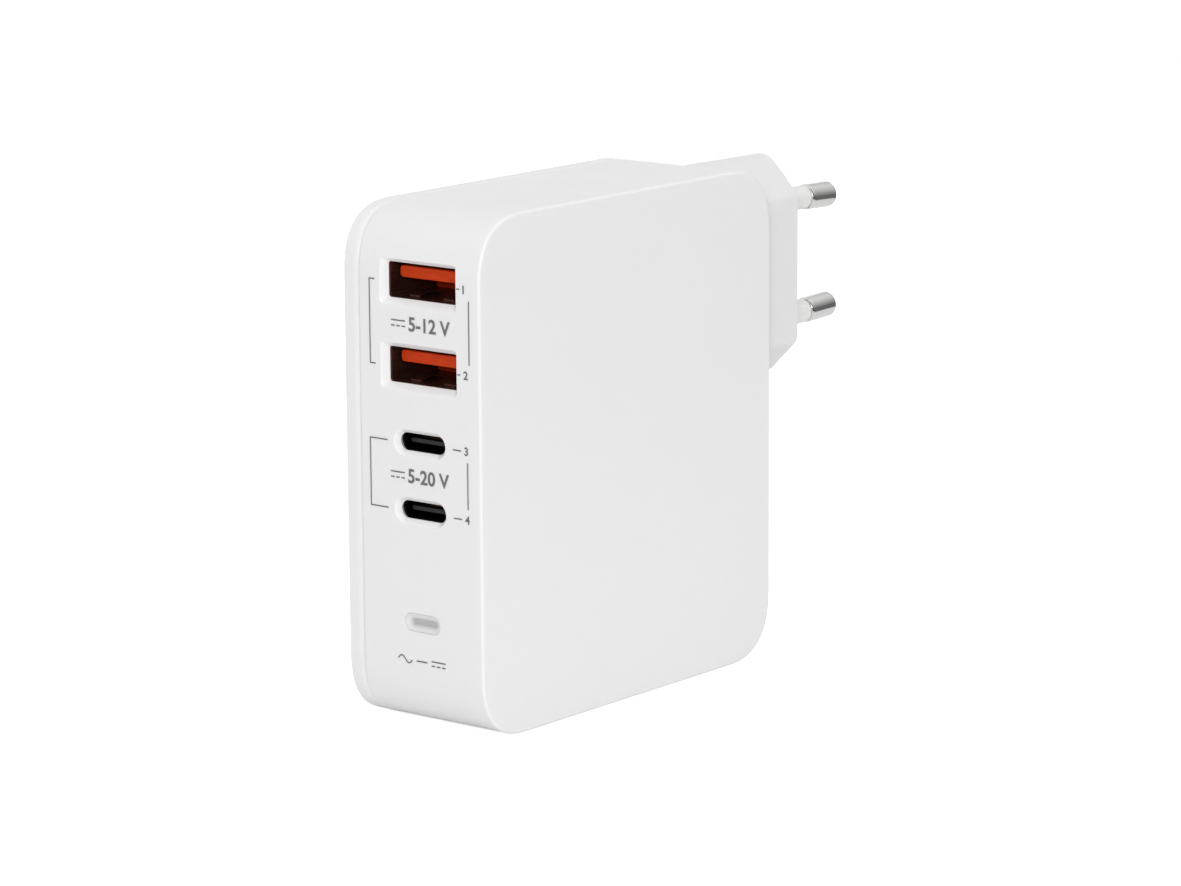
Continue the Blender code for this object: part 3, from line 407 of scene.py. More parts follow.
# Matt polycarbonate: the same white a touch darker, with hardly any sheen.
matt_polycarbonate = surface("matt_moulded_polycarbonate", ("#E6E6E6", "#E3E3E3"), (0.42, 0.52),
                             ("ShaderNodeTexNoise", {"Scale": 1 / MOULD_GRAIN, "Detail": 3.0}),
                             0.0012 * MM, {"IOR": 1.58, "Specular IOR Level": 0.35,
                                           "Subsurface Weight": 0.6, "Subsurface Scale": SCATTER,
                                           "Subsurface Radius": (1.0, 1.0, 1.0)})

rings = [plug_ring(plug_low.y, PLUG_DRAFT), plug_ring(BACK, PLUG_DRAFT)]
rings += [plug_ring(PLUG_REAR - drop, -inset) for drop, inset in reversed(fillet(PLUG_EDGE))]
plug = solid("plug_head", [rings], matt_polycarbonate)
flange_back = BACK - WALL - GAP
half = PLUG_WIDTH / 2 + FLANGE_MARGIN
flange = box_run((-half, flange_back - FLANGE_THICKNESS, PLUG_Z - PLUG_STRAIGHT / 2),
                 (half, flange_back, TOP - CORNER_REACH))
carve(plug, solid("flange", [flange], matt_polycarbonate), "UNION")
for side in (1, -1):
    centre, axis = pin_line(side)
    bore = PIN_NECK / 2 + GAP
    well = SLEEVE_DIAMETER / 2 + WELL_CLEARANCE
    profile = [(plug_low.y - PLUG_REAR - WALL, bore), (-WELL_DEPTH - GAP, bore),
               (-WELL_DEPTH - GAP, well), (CUT_OVER, well)]
    carve(plug, solid("pin_bore", [turned(profile, centre, axis)], matt_polycarbonate))
soften(plug)
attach(plug, "root")
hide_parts("plug_block")

# ---------------------------------------------------------------- pins and sleeves
# Two round brass pins, turned, nickel plated and polished. A white nylon sleeve is moulded over
# the necked first part of each, a little thinner than the bare metal beyond it, and the tips
# are rounded so that they find the holes of a socket.

PIN_DIAMETER = 4.0 * MM
PIN_TIP_RADIUS = 0.7 * MM
SHOULDER_RUN = 0.5 * MM
SHOULDER_RISE = 0.35 * MM
PIN_TAIL = 1.5 * MM
SLEEVE_LENGTH = 10.7 * MM
SLEEVE_EDGE = 0.36 * MM
SLEEVE_SEAT = 2.0 * MM
SLEEVE_GAP = 0.03 * MM
SLEEVE_FIT = 0.02 * MM
PIN_SIDES = 56
POLISH_MARK = 0.15 * MM

# Polished nickel plate: a bright warm-grey mirror, faintly streaked along the pin by polishing.
nickel = surface("polished_nickel_plate", ("#D8D8D7", "#D1D1D0"), (0.11, 0.17),
                 ("ShaderNodeTexNoise", {"Scale": 1 / POLISH_MARK, "Detail": 2.0}),
                 0.0003 * MM, {"Metallic": 1.0}, stretch=(1, 0.04, 1))

# Moulded nylon: softer and slightly warmer than the casing, with a low waxy sheen.
nylon = surface("moulded_white_nylon", ("#E7E7E6", "#E3E3E2"), (0.38, 0.46),
                ("ShaderNodeTexNoise", {"Scale": 1 / MOULD_GRAIN, "Detail": 2.0}),
                0.001 * MM, {"IOR": 1.53, "Subsurface Weight": 0.4, "Subsurface Scale": 0.5 * MM,
                             "Subsurface Radius": (1.0, 0.95, 0.9)})

for name, side in (("upper", 1), ("lower", -1)):
    centre, axis = pin_line(side)
    radius = PIN_DIAMETER / 2
    neck = PIN_NECK / 2
    start = SLEEVE_LENGTH + SLEEVE_GAP
    profile = [(plug_low.y - PLUG_REAR - PIN_TAIL, neck), (start, neck)]
    profile += [(start + SHOULDER_RUN * drop, radius - SHOULDER_RISE * inset)
                for drop, inset in fillet(1, 8)]
    profile += [(PIN_LENGTH - drop, radius - inset)
                for drop, inset in reversed(fillet(PIN_TIP_RADIUS))]
    pin = solid(f"plug_pin_{name}", [turned(profile, centre, axis, PIN_SIDES)], nickel)
    soften(pin)
    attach(pin, "root")
    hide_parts(f"pin_{name}")

    outer = SLEEVE_DIAMETER / 2
    bore = neck + SLEEVE_FIT
    profile = [(-SLEEVE_SEAT, bore), (-SLEEVE_SEAT, outer)]
    profile += [(SLEEVE_LENGTH - drop, outer - inset)
                for drop, inset in reversed(fillet(SLEEVE_EDGE))]
    profile += [(SLEEVE_LENGTH, bore)]
    rings = turned(profile, centre, axis, PIN_SIDES)
    sleeve = solid(f"plug_pin_sleeve_{name}", [rings + [rings[0]]], nylon)
    soften(sleeve)
    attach(sleeve, "root")
    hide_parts(f"pin_sleeve_{name}")

# ---------------------------------------------------------------- type-A sockets
# Two stamped and folded steel shells, nickel plated and coloured a dark reddish brown-black,
# behind the plastic lip of their holes: the dark is painted shade for the port mouths and the red
# cast a painted reflection of the tongue. Leaf springs pressed out of the floor and the roof grip
# the cable's plug. Inside, an orange-red nylon tongue carries the flat contacts on its underside.

RIM_ROUND = 0.1 * MM
SPRING_SETBACK = 1.6 * MM
SPRING_LENGTH = 5.2 * MM
SPRING_WIDTH = 1.9 * MM
SPRING_PLATE = 0.25 * MM
SPRING_RISE = 0.45 * MM
SPRING_LIFT = 0.02 * MM
SPRING_SWEEP = 1.15
SPRING_STEPS = 8
TONGUE_DROP = 0.4 * MM
TONGUE_THICKNESS = 1.7 * MM
TONGUE_CORNER = 0.5 * MM
TONGUE_EDGE = 0.15 * MM
BASE_THICKNESS = 0.55 * MM
BASE_GAP = 0.05 * MM
CONTACTS = 4
CONTACT_SETBACK = 1.6 * MM
CONTACT_END = 0.45 * MM
CONTACT_WIDTH = 1.0 * MM
CONTACT_PITCH = 2.2 * MM
CONTACT_PLATE = 0.08 * MM
CONTACT_LIFT = 0.01 * MM
ROLLING_MARK = 0.3 * MM
FLOW_MARK = 0.6 * MM

# Nickel plate on rolled steel, coloured a dark warm brown-black: painted shade that keeps the
# port mouths dark, with a reddish cast that is a painted reflection of the orange tongue. Half
# glossy and streaked along the direction of rolling.
painted_shade_nickel = surface("painted_shade_nickel_plated_steel", ("#664239", "#50342D"), (0.30, 0.44),
                       ("ShaderNodeTexNoise", {"Scale": 1 / ROLLING_MARK, "Detail": 3.0}),
                       0.0008 * MM, {"Metallic": 0.8}, stretch=(1, 0.1, 1))

# Coloured nylon: a saturated orange-red with a soft sheen and the faint flow marks of moulding.
orange_nylon = surface("moulded_orange_nylon", ("#CA3D0F", "#BD350B"), (0.46, 0.56),
                       ("ShaderNodeTexNoise", {"Scale": 1 / FLOW_MARK, "Detail": 3.0}),
                       0.002 * MM, {"IOR": 1.53, "Specular IOR Level": 0.12}, stretch=(0.3, 1, 1))

# Gold flash over nickel: yellow and bright where a plug's contacts wipe it.
gold_flash = surface("gold_flashed_contact", ("#D8AE5E", "#C99A48"), (0.22, 0.32),
                     ("ShaderNodeTexNoise", {"Scale": 1 / ROLLING_MARK, "Detail": 2.0}),
                     0.0004 * MM, {"Metallic": 1.0}, stretch=(1, 0.1, 1))


def tube_wall(centre, front, back, width, height, radius):
    """The rings of a drawn or folded shell: an open tube with a rounded front rim."""
    outside = [(back, SHELL_WALL)]
    outside += [(front + drop, SHELL_WALL - inset)
                for drop, inset in reversed(fillet(RIM_ROUND, 3))]
    inside = [(front + drop, inset) for drop, inset in fillet(RIM_ROUND, 3)] + [(back, 0)]
    rings = [front_ring(centre, y, width + 2 * grow, height + 2 * grow, radius + grow, 6)
             for y, grow in outside + inside]
    return rings + [rings[0]]


def leaf_spring(x, front, z, way):
    """A pressed leaf that rises off the shell's floor (way 1) or roof (way -1) and dips back."""
    rings = []
    for k in range(SPRING_STEPS + 1):
        along = k / SPRING_STEPS
        bow = SPRING_RISE * math.sin(math.pi * min(along * SPRING_SWEEP, 1.0))
        middle = z + way * (bow + SPRING_PLATE / 2 + SPRING_LIFT)
        y = front + along * SPRING_LENGTH
        rings.append([(x + su * SPRING_WIDTH / 2, y, middle + sv * SPRING_PLATE / 2)
                      for su, sv in ((1, 1), (-1, 1), (-1, -1), (1, -1))])
    return rings


for name in ("upper", "lower"):
    low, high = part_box(f"usb_a_shell_{name}")
    centre = (low + high) / 2
    mouth_width = high.x - low.x - 2 * SHELL_WALL
    mouth_height = high.z - low.z - 2 * SHELL_WALL
    runs = [tube_wall(centre, low.y, high.y, mouth_width, mouth_height, SHARP_CORNER)]
    for offset in (-0.25 * mouth_width, 0.25 * mouth_width):
        for way in (1, -1):
            runs.append(leaf_spring(centre.x + offset, low.y + SPRING_SETBACK,
                                    centre.z - way * mouth_height / 2, way))
    shell = solid(f"type_a_shell_{name}", runs, painted_shade_nickel)
    soften(shell)
    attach(shell, "root")
    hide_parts(f"usb_a_shell_{name}")

    tongue_low, tongue_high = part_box(f"usb_a_tongue_{name}")
    underside = tongue_high.z - TONGUE_DROP - TONGUE_THICKNESS
    middle = Vector((centre.x, 0, underside + TONGUE_THICKNESS / 2))
    width = tongue_high.x - tongue_low.x
    base_front = tongue_high.y - BASE_THICKNESS
    steps = [(tongue_low.y + drop, inset) for drop, inset in fillet(TONGUE_EDGE, 3)]
    steps += [(base_front - BASE_GAP, 0)]
    blade = [front_ring(middle, y, width - 2 * inset, TONGUE_THICKNESS - 2 * inset,
                        TONGUE_CORNER, 6) for y, inset in steps]
    base = [front_ring(centre, y, mouth_width - 2 * BASE_GAP, mouth_height - 2 * BASE_GAP,
                       TONGUE_CORNER, 4) for y in (base_front, tongue_high.y)]
    tongue = solid(f"type_a_tongue_{name}", [blade, base], orange_nylon)
    soften(tongue)
    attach(tongue, "root")
    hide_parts(f"usb_a_tongue_{name}")

    runs = []
    face = underside - CONTACT_LIFT
    for k in range(CONTACTS):
        x = centre.x + (k - (CONTACTS - 1) / 2) * CONTACT_PITCH
        low = (x - CONTACT_WIDTH / 2, tongue_low.y + CONTACT_SETBACK, face - CONTACT_PLATE)
        high = (x + CONTACT_WIDTH / 2, base_front - CONTACT_END, face)
        runs.append(box_run(low, high))
    contacts = solid(f"type_a_contacts_{name}", runs, gold_flash)
    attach(contacts, "root")

# ---------------------------------------------------------------- type-C sockets
# Two seamless oval shells, deep drawn from steel and nickel plated, coloured nearly black as
# painted shade for the dark inside their mouths, with a thin black tongue in the middle. The
# tongue carries two rows of twelve fine contacts round a steel plate.

TONGUE_C_WIDTH = 6.7 * MM
TONGUE_C_THICKNESS = 0.7 * MM
TONGUE_C_CORNER = 0.25 * MM
TONGUE_C_EDGE = 0.12 * MM
BASE_C_THICKNESS = 3.0 * MM
BASE_C_MARGIN = 0.15 * MM
FINE_CONTACTS = 12
FINE_PITCH = 0.5 * MM
FINE_WIDTH = 0.25 * MM
FINE_LENGTH = 3.2 * MM
FINE_PLATE = 0.04 * MM
FINE_SETBACK = 1.4 * MM

# Black nylon: deep neutral black with a soft sheen, so that its edges catch a little light.
black_nylon = surface("moulded_black_nylon", ("#161617", "#0E0E0F"), (0.36, 0.46),
                      ("ShaderNodeTexNoise", {"Scale": 1 / MOULD_GRAIN, "Detail": 2.0}),
                      0.003 * MM, {"IOR": 1.53, "Specular IOR Level": 0.35})

# The drawn shells take a duller plate than the folded ones, coloured nearly black: painted shade
# that keeps the oval mouths dark inside.
dull_painted_shade_nickel = surface("dull_painted_shade_nickel_plate", ("#1C1A19", "#151413"), (0.36, 0.48),
                            ("ShaderNodeTexNoise", {"Scale": 1 / ROLLING_MARK, "Detail": 3.0}),
                            0.0008 * MM, {"Metallic": 0.9}, stretch=(1, 0.1, 1))

for name in ("upper", "lower"):
    low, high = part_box(f"usb_c_shell_{name}")
    centre = (low + high) / 2
    width = high.x - low.x - 2 * SHELL_WALL
    height = high.z - low.z - 2 * SHELL_WALL
    shell = solid(f"type_c_shell_{name}",
                  [tube_wall(centre, low.y, high.y, width, height, height / 2)],
                  dull_painted_shade_nickel)
    soften(shell)
    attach(shell, "root")
    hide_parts(f"usb_c_shell_{name}")

    tongue_low, tongue_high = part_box(f"usb_c_tongue_{name}")
    base_front = tongue_high.y - BASE_C_THICKNESS
    steps = [(tongue_low.y + drop, inset) for drop, inset in fillet(TONGUE_C_EDGE, 3)]
    steps += [(base_front - BASE_GAP, 0)]
    blade = [front_ring(centre, y, TONGUE_C_WIDTH - 2 * inset, TONGUE_C_THICKNESS - 2 * inset,
                        TONGUE_C_CORNER, 4) for y, inset in steps]
    base = [front_ring(centre, y, width - 2 * BASE_C_MARGIN, height - 2 * BASE_C_MARGIN, height)
            for y in (base_front, tongue_high.y)]
    tongue = solid(f"type_c_tongue_{name}", [blade, base], black_nylon)
    soften(tongue)
    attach(tongue, "root")
    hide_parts(f"usb_c_tongue_{name}")

    runs = []
    front = tongue_low.y + FINE_SETBACK
    for way in (1, -1):
        z = centre.z + way * (TONGUE_C_THICKNESS / 2 + CONTACT_LIFT + FINE_PLATE / 2)
        for k in range(FINE_CONTACTS):
            x = centre.x + (k - (FINE_CONTACTS - 1) / 2) * FINE_PITCH
            runs.append(box_run((x - FINE_WIDTH / 2, front, z - FINE_PLATE / 2),
                                (x + FINE_WIDTH / 2, front + FINE_LENGTH, z + FINE_PLATE / 2)))
    contacts = solid(f"type_c_contacts_{name}", runs, gold_flash)
    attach(contacts, "root")

# ---------------------------------------------------------------- light window
# A rod of frosted polycarbonate carries light from the lamp on the port board to the front. Its
# face is a dish that slopes to a narrow bar, and a flange stops it behind the wall.

PIPE_CLEARANCE = 0.03 * MM
PIPE_SETBACK = 0.15 * MM
PIPE_FLANGE = 0.8 * MM
DISH_RIM = 0.2 * MM
DISH_DEPTH = 0.5 * MM
DISH_STEPS = 6
BAR_WIDTH = 4.6 * MM
BAR_HEIGHT = 0.9 * MM
BAR_DEPTH = 0.15 * MM
BAR_DRAFT = 0.3 * MM
FROST_GRAIN = 0.25 * MM

wide = WINDOW_WIDTH - 2 * PIPE_CLEARANCE
tall = WINDOW_HEIGHT - 2 * PIPE_CLEARANCE
flange_wide = pipe_high.x - pipe_low.x
flange_tall = pipe_high.z - pipe_low.z
stop = FRONT + WALL + GAP
rim = FRONT + PIPE_SETBACK
sizes = [(pipe_high.y, wide, tall), (stop + PIPE_FLANGE, wide, tall),
         (stop + PIPE_FLANGE, flange_wide, flange_tall), (stop, flange_wide, flange_tall),
         (stop, wide, tall), (rim, wide, tall), (rim, wide - DISH_RIM, tall - DISH_RIM)]
for k in range(1, DISH_STEPS + 1):
    share = k / DISH_STEPS
    sizes.append((rim + DISH_DEPTH * share,
                  wide - DISH_RIM + share * (BAR_WIDTH - wide + DISH_RIM),
                  tall - DISH_RIM + share * (BAR_HEIGHT - tall + DISH_RIM)))
sizes.append((rim + DISH_DEPTH + BAR_DEPTH, BAR_WIDTH - BAR_DRAFT, BAR_HEIGHT - BAR_DRAFT))

# Frosted polycarbonate: milky and translucent. The tone follows the depth behind the rim and
# darkens towards the floor of the dish: painted shade that makes the bar there look grey.
frosted = bpy.data.materials.new("frosted_polycarbonate_painted_shade")
frosted.use_nodes = True
tree = frosted.node_tree
tree.nodes.clear()
place = add(tree, "ShaderNodeTexCoord", {}, {}).outputs["Object"]
depth = add(tree, "ShaderNodeSeparateXYZ", {}, {0: place}).outputs["Y"]
painted_dish_shade = add(tree, "ShaderNodeMapRange", {"From Min": rim + DISH_DEPTH / 2,
                                        "From Max": rim + DISH_DEPTH + BAR_DEPTH},
           {"Value": depth}).outputs[0]
tone = add(tree, "ShaderNodeMix", {"data_type": "RGBA", 6: linear("#DEDEDE"),
                                   7: linear("#B4B4B4")}, {0: painted_dish_shade})
frost = add(tree, "ShaderNodeTexNoise", {"Scale": 1 / FROST_GRAIN, "Detail": 3.0},
            {"Vector": place}).outputs[0]
gloss = add(tree, "ShaderNodeMapRange", {"To Min": 0.42, "To Max": 0.58}, {"Value": frost})
relief = add(tree, "ShaderNodeBump", {"Strength": 1.0, "Distance": 0.003 * MM}, {"Height": frost})
shader = add(tree, "ShaderNodeBsdfPrincipled", {"IOR": 1.58, "Specular IOR Level": 0.3},
             {"Base Color": tone.outputs[2], "Roughness": gloss.outputs[0],
              "Normal": relief.outputs[0]})
add(tree, "ShaderNodeOutputMaterial", {}, {"Surface": shader.outputs[0]})

pipe = solid("window_light_pipe", [[front_ring(window, y, w, h, h) for y, w, h in sizes]], frosted)
soften(pipe)
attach(pipe, "root")
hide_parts("light_pipe")

# ---------------------------------------------------------------- printed marks
# One pass of pad-printed grey ink on the front: brackets that tie each pair of ports together,
# a plain number beside each port, the voltages of each pair beside the direct-current sign, and
# a small sign for mains in and direct current out at the foot.

LINE_WIDTH = 0.19 * MM
NUMBER_HEIGHT = 1.2 * MM
NUMBER_LEFT = 9.6 * MM
LEGEND_HEIGHT = 2.05 * MM
SIGN_WIDTH = 2.6 * MM
CAP_SHARE = 0.729
FIGURE_WEIGHT = 0.03
INK_BED = 0.01 * MM
INK_CLOUD = 0.4 * MM

# Pad-printing ink: flat dark grey, a little uneven in cover, with a soft sheen.
ink = surface("pad_printed_grey_ink", ("#6E6E6E", "#606060"), (0.45, 0.6),
              ("ShaderNodeTexNoise", {"Scale": 1 / INK_CLOUD, "Detail": 2.0}),
              0.0005 * MM, {"IOR": 1.5})
print_front = tub_low.y
print_back = FRONT + INK_BED


def stroke(path, width):
    """The rings of a printed line of even width along (x, z) points, mitred at its bends."""
    points = [Vector(point) for point in path]
    rings = []
    for i, here in enumerate(points):
        before = (here - points[i - 1]).normalized() if i else None
        after = (points[i + 1] - here).normalized() if i + 1 < len(points) else before
        before = before or after
        along = (before + after).normalized()
        side = Vector((-along.y, along.x)) * (width / 2 / max(0.3, along.dot(after)))
        rings.append([(here.x + side.x * s, y, here.y + side.y * s)
                      for s, y in ((1, print_front), (-1, print_front),
                                   (-1, print_back), (1, print_back))])
    return rings


def lettering(text, x, z, height):
    """A mesh of printed figures with their left end and foot at (x, z)."""
    curve = bpy.data.curves.new("figures", "FONT")
    curve.body = text
    curve.size = height / CAP_SHARE
    curve.extrude = (print_back - print_front) / 2
    curve.offset = FIGURE_WEIGHT * height
    curve.resolution_u = 4
    sketch = bpy.data.objects.new("figures", curve)
    bpy.context.scene.collection.objects.link(sketch)
    bpy.context.view_layer.update()
    shape = sketch.evaluated_get(bpy.context.evaluated_depsgraph_get())
    mesh = bpy.data.meshes.new_from_object(shape)
    bpy.data.objects.remove(sketch)
    left = min(v.co.x for v in mesh.vertices)
    low = min(v.co.y for v in mesh.vertices)
    for v in mesh.vertices:
        v.co = (x + v.co.x - left, (print_front + print_back) / 2 - v.co.z, z + v.co.y - low)
    return mesh


def direct_current(x, z, height):
    """The runs of the direct-current sign: a bar over three dashes."""
    bar = z + 0.68 * height
    row = z + 0.3 * height
    dash = SIGN_WIDTH / 4
    runs = [stroke([(x, bar), (x + SIGN_WIDTH, bar)], LINE_WIDTH)]
    for start in (x, x + 1.5 * dash, x + 3 * dash):
        runs.append(stroke([(start, row), (start + dash, row)], LINE_WIDTH))
    return runs


port_rows = []
for node, _ in ports:
    low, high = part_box(node)
    port_rows.append((low.z + high.z) / 2)

# Round each pair of ports: the first port, the bracket's edge on the left and the length of its
# ticks, the upright line on the right, and the dash that leads to each port's number.
BRACKETS = ((0, -7.65 * MM, 1.0 * MM, 10.65 * MM, 0.5 * MM),
            (2, -7.9 * MM, 3.25 * MM, 10.15 * MM, 1.5 * MM))
DASH_END = 9.0 * MM
UPRIGHT_TOP = 1.6 * MM
UPRIGHT_FOOT = 1.5 * MM
lines = []
for first, left, tick, right, dash in BRACKETS:
    top, foot = port_rows[first], port_rows[first + 1]
    lines.append(stroke([(left + tick, top), (left, top), (left, foot), (left + tick, foot)],
                        LINE_WIDTH))
    lines.append(stroke([(right, top - UPRIGHT_TOP), (right, foot + UPRIGHT_FOOT)], LINE_WIDTH))
    for row in (top, foot):
        lines.append(stroke([(DASH_END - dash, row), (DASH_END, row)], LINE_WIDTH))

# Each pair's voltages: the words, the left end of the sign and of the words, and their foot.
LEGENDS = (("5-12 V", -3.65 * MM, -0.4 * MM, 58.0 * MM),
           ("5-20 V", -4.1 * MM, -0.9 * MM, 36.2 * MM))
words = []
for text, sign_left, left, foot in LEGENDS:
    lines += direct_current(sign_left, foot, LEGEND_HEIGHT)
    words.append((text, left, foot, LEGEND_HEIGHT))
for k, row in enumerate(port_rows):
    words.append((str(k + 1), NUMBER_LEFT, row - NUMBER_HEIGHT / 2, NUMBER_HEIGHT))

# At the foot, a wave for mains in, a dash, and the sign for direct current out.
SUPPLY_ROW = 10.45 * MM
WAVE_LEFT = -3.2 * MM
WAVE_RISE = 0.5 * MM
WAVE_STEPS = 16
wave = []
for k in range(WAVE_STEPS + 1):
    share = k / WAVE_STEPS
    wave.append((WAVE_LEFT + SIGN_WIDTH * share,
                 SUPPLY_ROW + WAVE_RISE * math.sin(2 * math.pi * share)))
lines.append(stroke(wave, LINE_WIDTH))
lines.append(stroke([(0.2 * MM, SUPPLY_ROW), (2.2 * MM, SUPPLY_ROW)], LINE_WIDTH))
lines += direct_current(3.0 * MM, 9.6 * MM, 1.7 * MM)
marks = solid("printed_lines", lines, ink)
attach(marks, "root")

for k, (text, x, z, height) in enumerate(words):
    mesh = lettering(text, x, z, height)
    mesh.materials.clear()
    mesh.materials.append(ink)
    figure = bpy.data.objects.new(f"printed_figures_{k + 1}", mesh)
    bpy.context.scene.collection.objects.link(figure)
    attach(figure, "root")

# ---------------------------------------------------------------- boards and connectors
# Two glass-epoxy boards under green solder mask, one across the front for the ports and one
# along the body for the power parts, with a black pin header between them.


def dress(nodes, finish):
    """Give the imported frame's own parts their finish."""
    for node in nodes:
        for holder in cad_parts[node].material_slots:
            holder.material = finish


WEAVE = 0.6 * MM

# Solder mask over glass weave: deep green and glossy, with the cloth faintly telegraphing through.
solder_mask = surface("green_solder_mask_on_glass_epoxy", ("#1F6B3C", "#185A32"), (0.25, 0.35),
                      ("ShaderNodeTexChecker", {"Scale": 1 / WEAVE}),
                      0.002 * MM, {"IOR": 1.55, "Coat Weight": 0.3}, span=(0, 1))
dress(("main_board", "port_board"), solder_mask)

# Moulding compound: dark grey and dull, with fine silica specks and a spark-eroded grain.
compound = surface("black_moulding_compound", ("#26262A", "#1D1D20"), (0.5, 0.62),
                   ("ShaderNodeTexNoise", {"Scale": 1 / (0.12 * MM), "Detail": 3.0}),
                   0.002 * MM, {"IOR": 1.55})
dress(("board_header", "bridge_rectifier", "choke_base", "fuse", "mains_controller",
       "optocoupler", "port_controller_lower", "port_controller_upper", "power_switch",
       "sync_rectifier", "transformer_bobbin"), compound)

# ---------------------------------------------------------------- wound parts
# The transformer, the chokes and the inductors: pressed and sintered ferrite, enamelled copper
# wire laid side by side, and yellow polyester tape over the transformer's winding.

WIRE = 0.6 * MM
TAPE = 3.0 * MM

# Sintered ferrite: charcoal grey and dull, finely pitted.
ferrite = surface("sintered_ferrite", ("#45454A", "#343438"), (0.5, 0.65),
                  ("ShaderNodeTexVoronoi", {"Scale": 1 / (0.4 * MM)}),
                  0.01 * MM, {"IOR": 2.0}, span=(0.0, 0.5))
dress(("choke_core", "line_inductor", "output_inductor_lower", "output_inductor_upper",
       "transformer_core"), ferrite)

# Enamelled copper wire: bands a wire's width apart, with a painted highlight on each crown and
# painted shade in each groove.
copper = surface("enamelled_copper_wire_painted_light", ("#6B3418", "#C8743C"), (0.22, 0.32),
                 ("ShaderNodeTexWave", {"Scale": 1 / (WIRE * 2 * math.pi), "bands_direction": "Z",
                                        "Distortion": 0.3}),
                 0.08 * MM, {"Metallic": 1.0, "Coat Weight": 0.5}, span=(0.1, 0.9))
dress(("choke_winding_back", "choke_winding_front"), copper)

# Polyester tape: glossy amber yellow, with a darker line at each lap.
tape = surface("yellow_polyester_tape", ("#B5820F", "#E0AE2A"), (0.2, 0.3),
               ("ShaderNodeTexWave", {"Scale": 1 / (TAPE * 2 * math.pi), "bands_direction": "Z",
                                      "wave_profile": "SAW"}),
               0.03 * MM, {"IOR": 1.6, "Coat Weight": 0.4}, span=(0.0, 0.25))
dress(("transformer_winding",), tape)

# ---------------------------------------------------------------- capacitors
# Two long mains cans in dark shrink sleeve, four bare aluminium output cans, a yellow film
# capacitor in a potted box, and two discs dipped in blue epoxy.

# Shrink sleeve: thin dark vinyl with a low gloss and slight waves where it gripped the can.
sleeve_vinyl = surface("dark_shrink_sleeve", ("#23242E", "#1B1C25"), (0.3, 0.42),
                       ("ShaderNodeTexNoise", {"Scale": 1 / (1.5 * MM), "Detail": 2.0}),
                       0.02 * MM, {"IOR": 1.53}, stretch=(1, 0.3, 1))
dress(("bulk_capacitor_lower", "bulk_capacitor_upper"), sleeve_vinyl)

# Drawn aluminium: pale grey metal, drawn lengthwise, so its sheen is streaked along the can.
aluminium_can = surface("drawn_aluminium_can", ("#D2D3D6", "#C2C3C7"), (0.3, 0.42),
                        ("ShaderNodeTexNoise", {"Scale": 1 / (0.25 * MM), "Detail": 3.0}),
                        0.002 * MM, {"Metallic": 1.0}, stretch=(0.05, 1, 1))
dress([f"output_capacitor_{k}" for k in range(1, 5)], aluminium_can)

# Potted box: flat yellow plastic with a satin face.
film_box = surface("yellow_potted_box", ("#D9B236", "#CCA42B"), (0.35, 0.48),
                   ("ShaderNodeTexNoise", {"Scale": 1 / (0.3 * MM), "Detail": 2.0}),
                   0.002 * MM, {"IOR": 1.5})
dress(("x_capacitor",), film_box)

# Dipped epoxy: thick glossy blue that ran a little as it set.
dipped_epoxy = surface("blue_dipped_epoxy", ("#2C5FA8", "#244F90"), (0.15, 0.28),
                       ("ShaderNodeTexNoise", {"Scale": 1 / (2.0 * MM), "Detail": 1.0}),
                       0.05 * MM, {"IOR": 1.56, "Coat Weight": 0.5})
dress(("y_capacitor", "varistor"), dipped_epoxy)

# ---------------------------------------------------------------- heat path, contacts and lamp
# A grey silicone pad presses the transformer's heat into an aluminium sheet, insulated from the
# wall by a film. Bronze leaves bring the mains from the pins, and a small lamp lights the window.

# Silicone gap pad: soft, dull blue-grey, with fine ceramic filler.
silicone = surface("silicone_gap_pad", ("#7C828C", "#6F757F"), (0.6, 0.75),
                   ("ShaderNodeTexNoise", {"Scale": 1 / (0.2 * MM), "Detail": 3.0}),
                   0.01 * MM, {"IOR": 1.41})
dress(("thermal_pad",), silicone)

# Mill-finish aluminium: bright sheet with rolling lines along its length.
mill_aluminium = surface("mill_finish_aluminium", ("#D6D7D9", "#C8C9CC"), (0.28, 0.4),
                         ("ShaderNodeTexNoise", {"Scale": 1 / (0.2 * MM), "Detail": 3.0}),
                         0.002 * MM, {"Metallic": 1.0}, stretch=(1, 1, 0.04))
dress(("heat_spreader",), mill_aluminium)

# Insulation film: waxy off-white polyester, hardly textured.
film = surface("polyester_insulation_film", ("#DCD8C6", "#D2CEBB"), (0.3, 0.42),
               ("ShaderNodeTexNoise", {"Scale": 1 / (3.0 * MM), "Detail": 2.0}),
               0.01 * MM, {"IOR": 1.6, "Transmission Weight": 0.15})
dress(("insulation_sheet",), film)

# Rolled phosphor bronze: warm orange-brown spring metal, streaked by rolling.
bronze = surface("rolled_phosphor_bronze", ("#C98A52", "#B87A45"), (0.28, 0.4),
                 ("ShaderNodeTexNoise", {"Scale": 1 / ROLLING_MARK, "Detail": 3.0}),
                 0.001 * MM, {"Metallic": 1.0}, stretch=(1, 1, 0.1))
dress(("pin_clip_lower", "pin_clip_upper"), bronze)

# Lamp package: white nylon with a pale yellow phosphor gel.
phosphor = surface("phosphor_lamp_package", ("#EDE6B8", "#E4DCA6"), (0.3, 0.42),
                   ("ShaderNodeTexVoronoi", {"Scale": 1 / (0.2 * MM)}),
                   0.005 * MM, {"IOR": 1.5}, span=(0, 0.5))
dress(("status_led",), phosphor)

# ---------------------------------------------------------------- floor and light
# White sweep paper under an even dome of soft light, with a small key box ahead on the right and
# broad boxes beside and above. A curved card on the right and behind, which only reflections
# show, gives the metal its contrast.

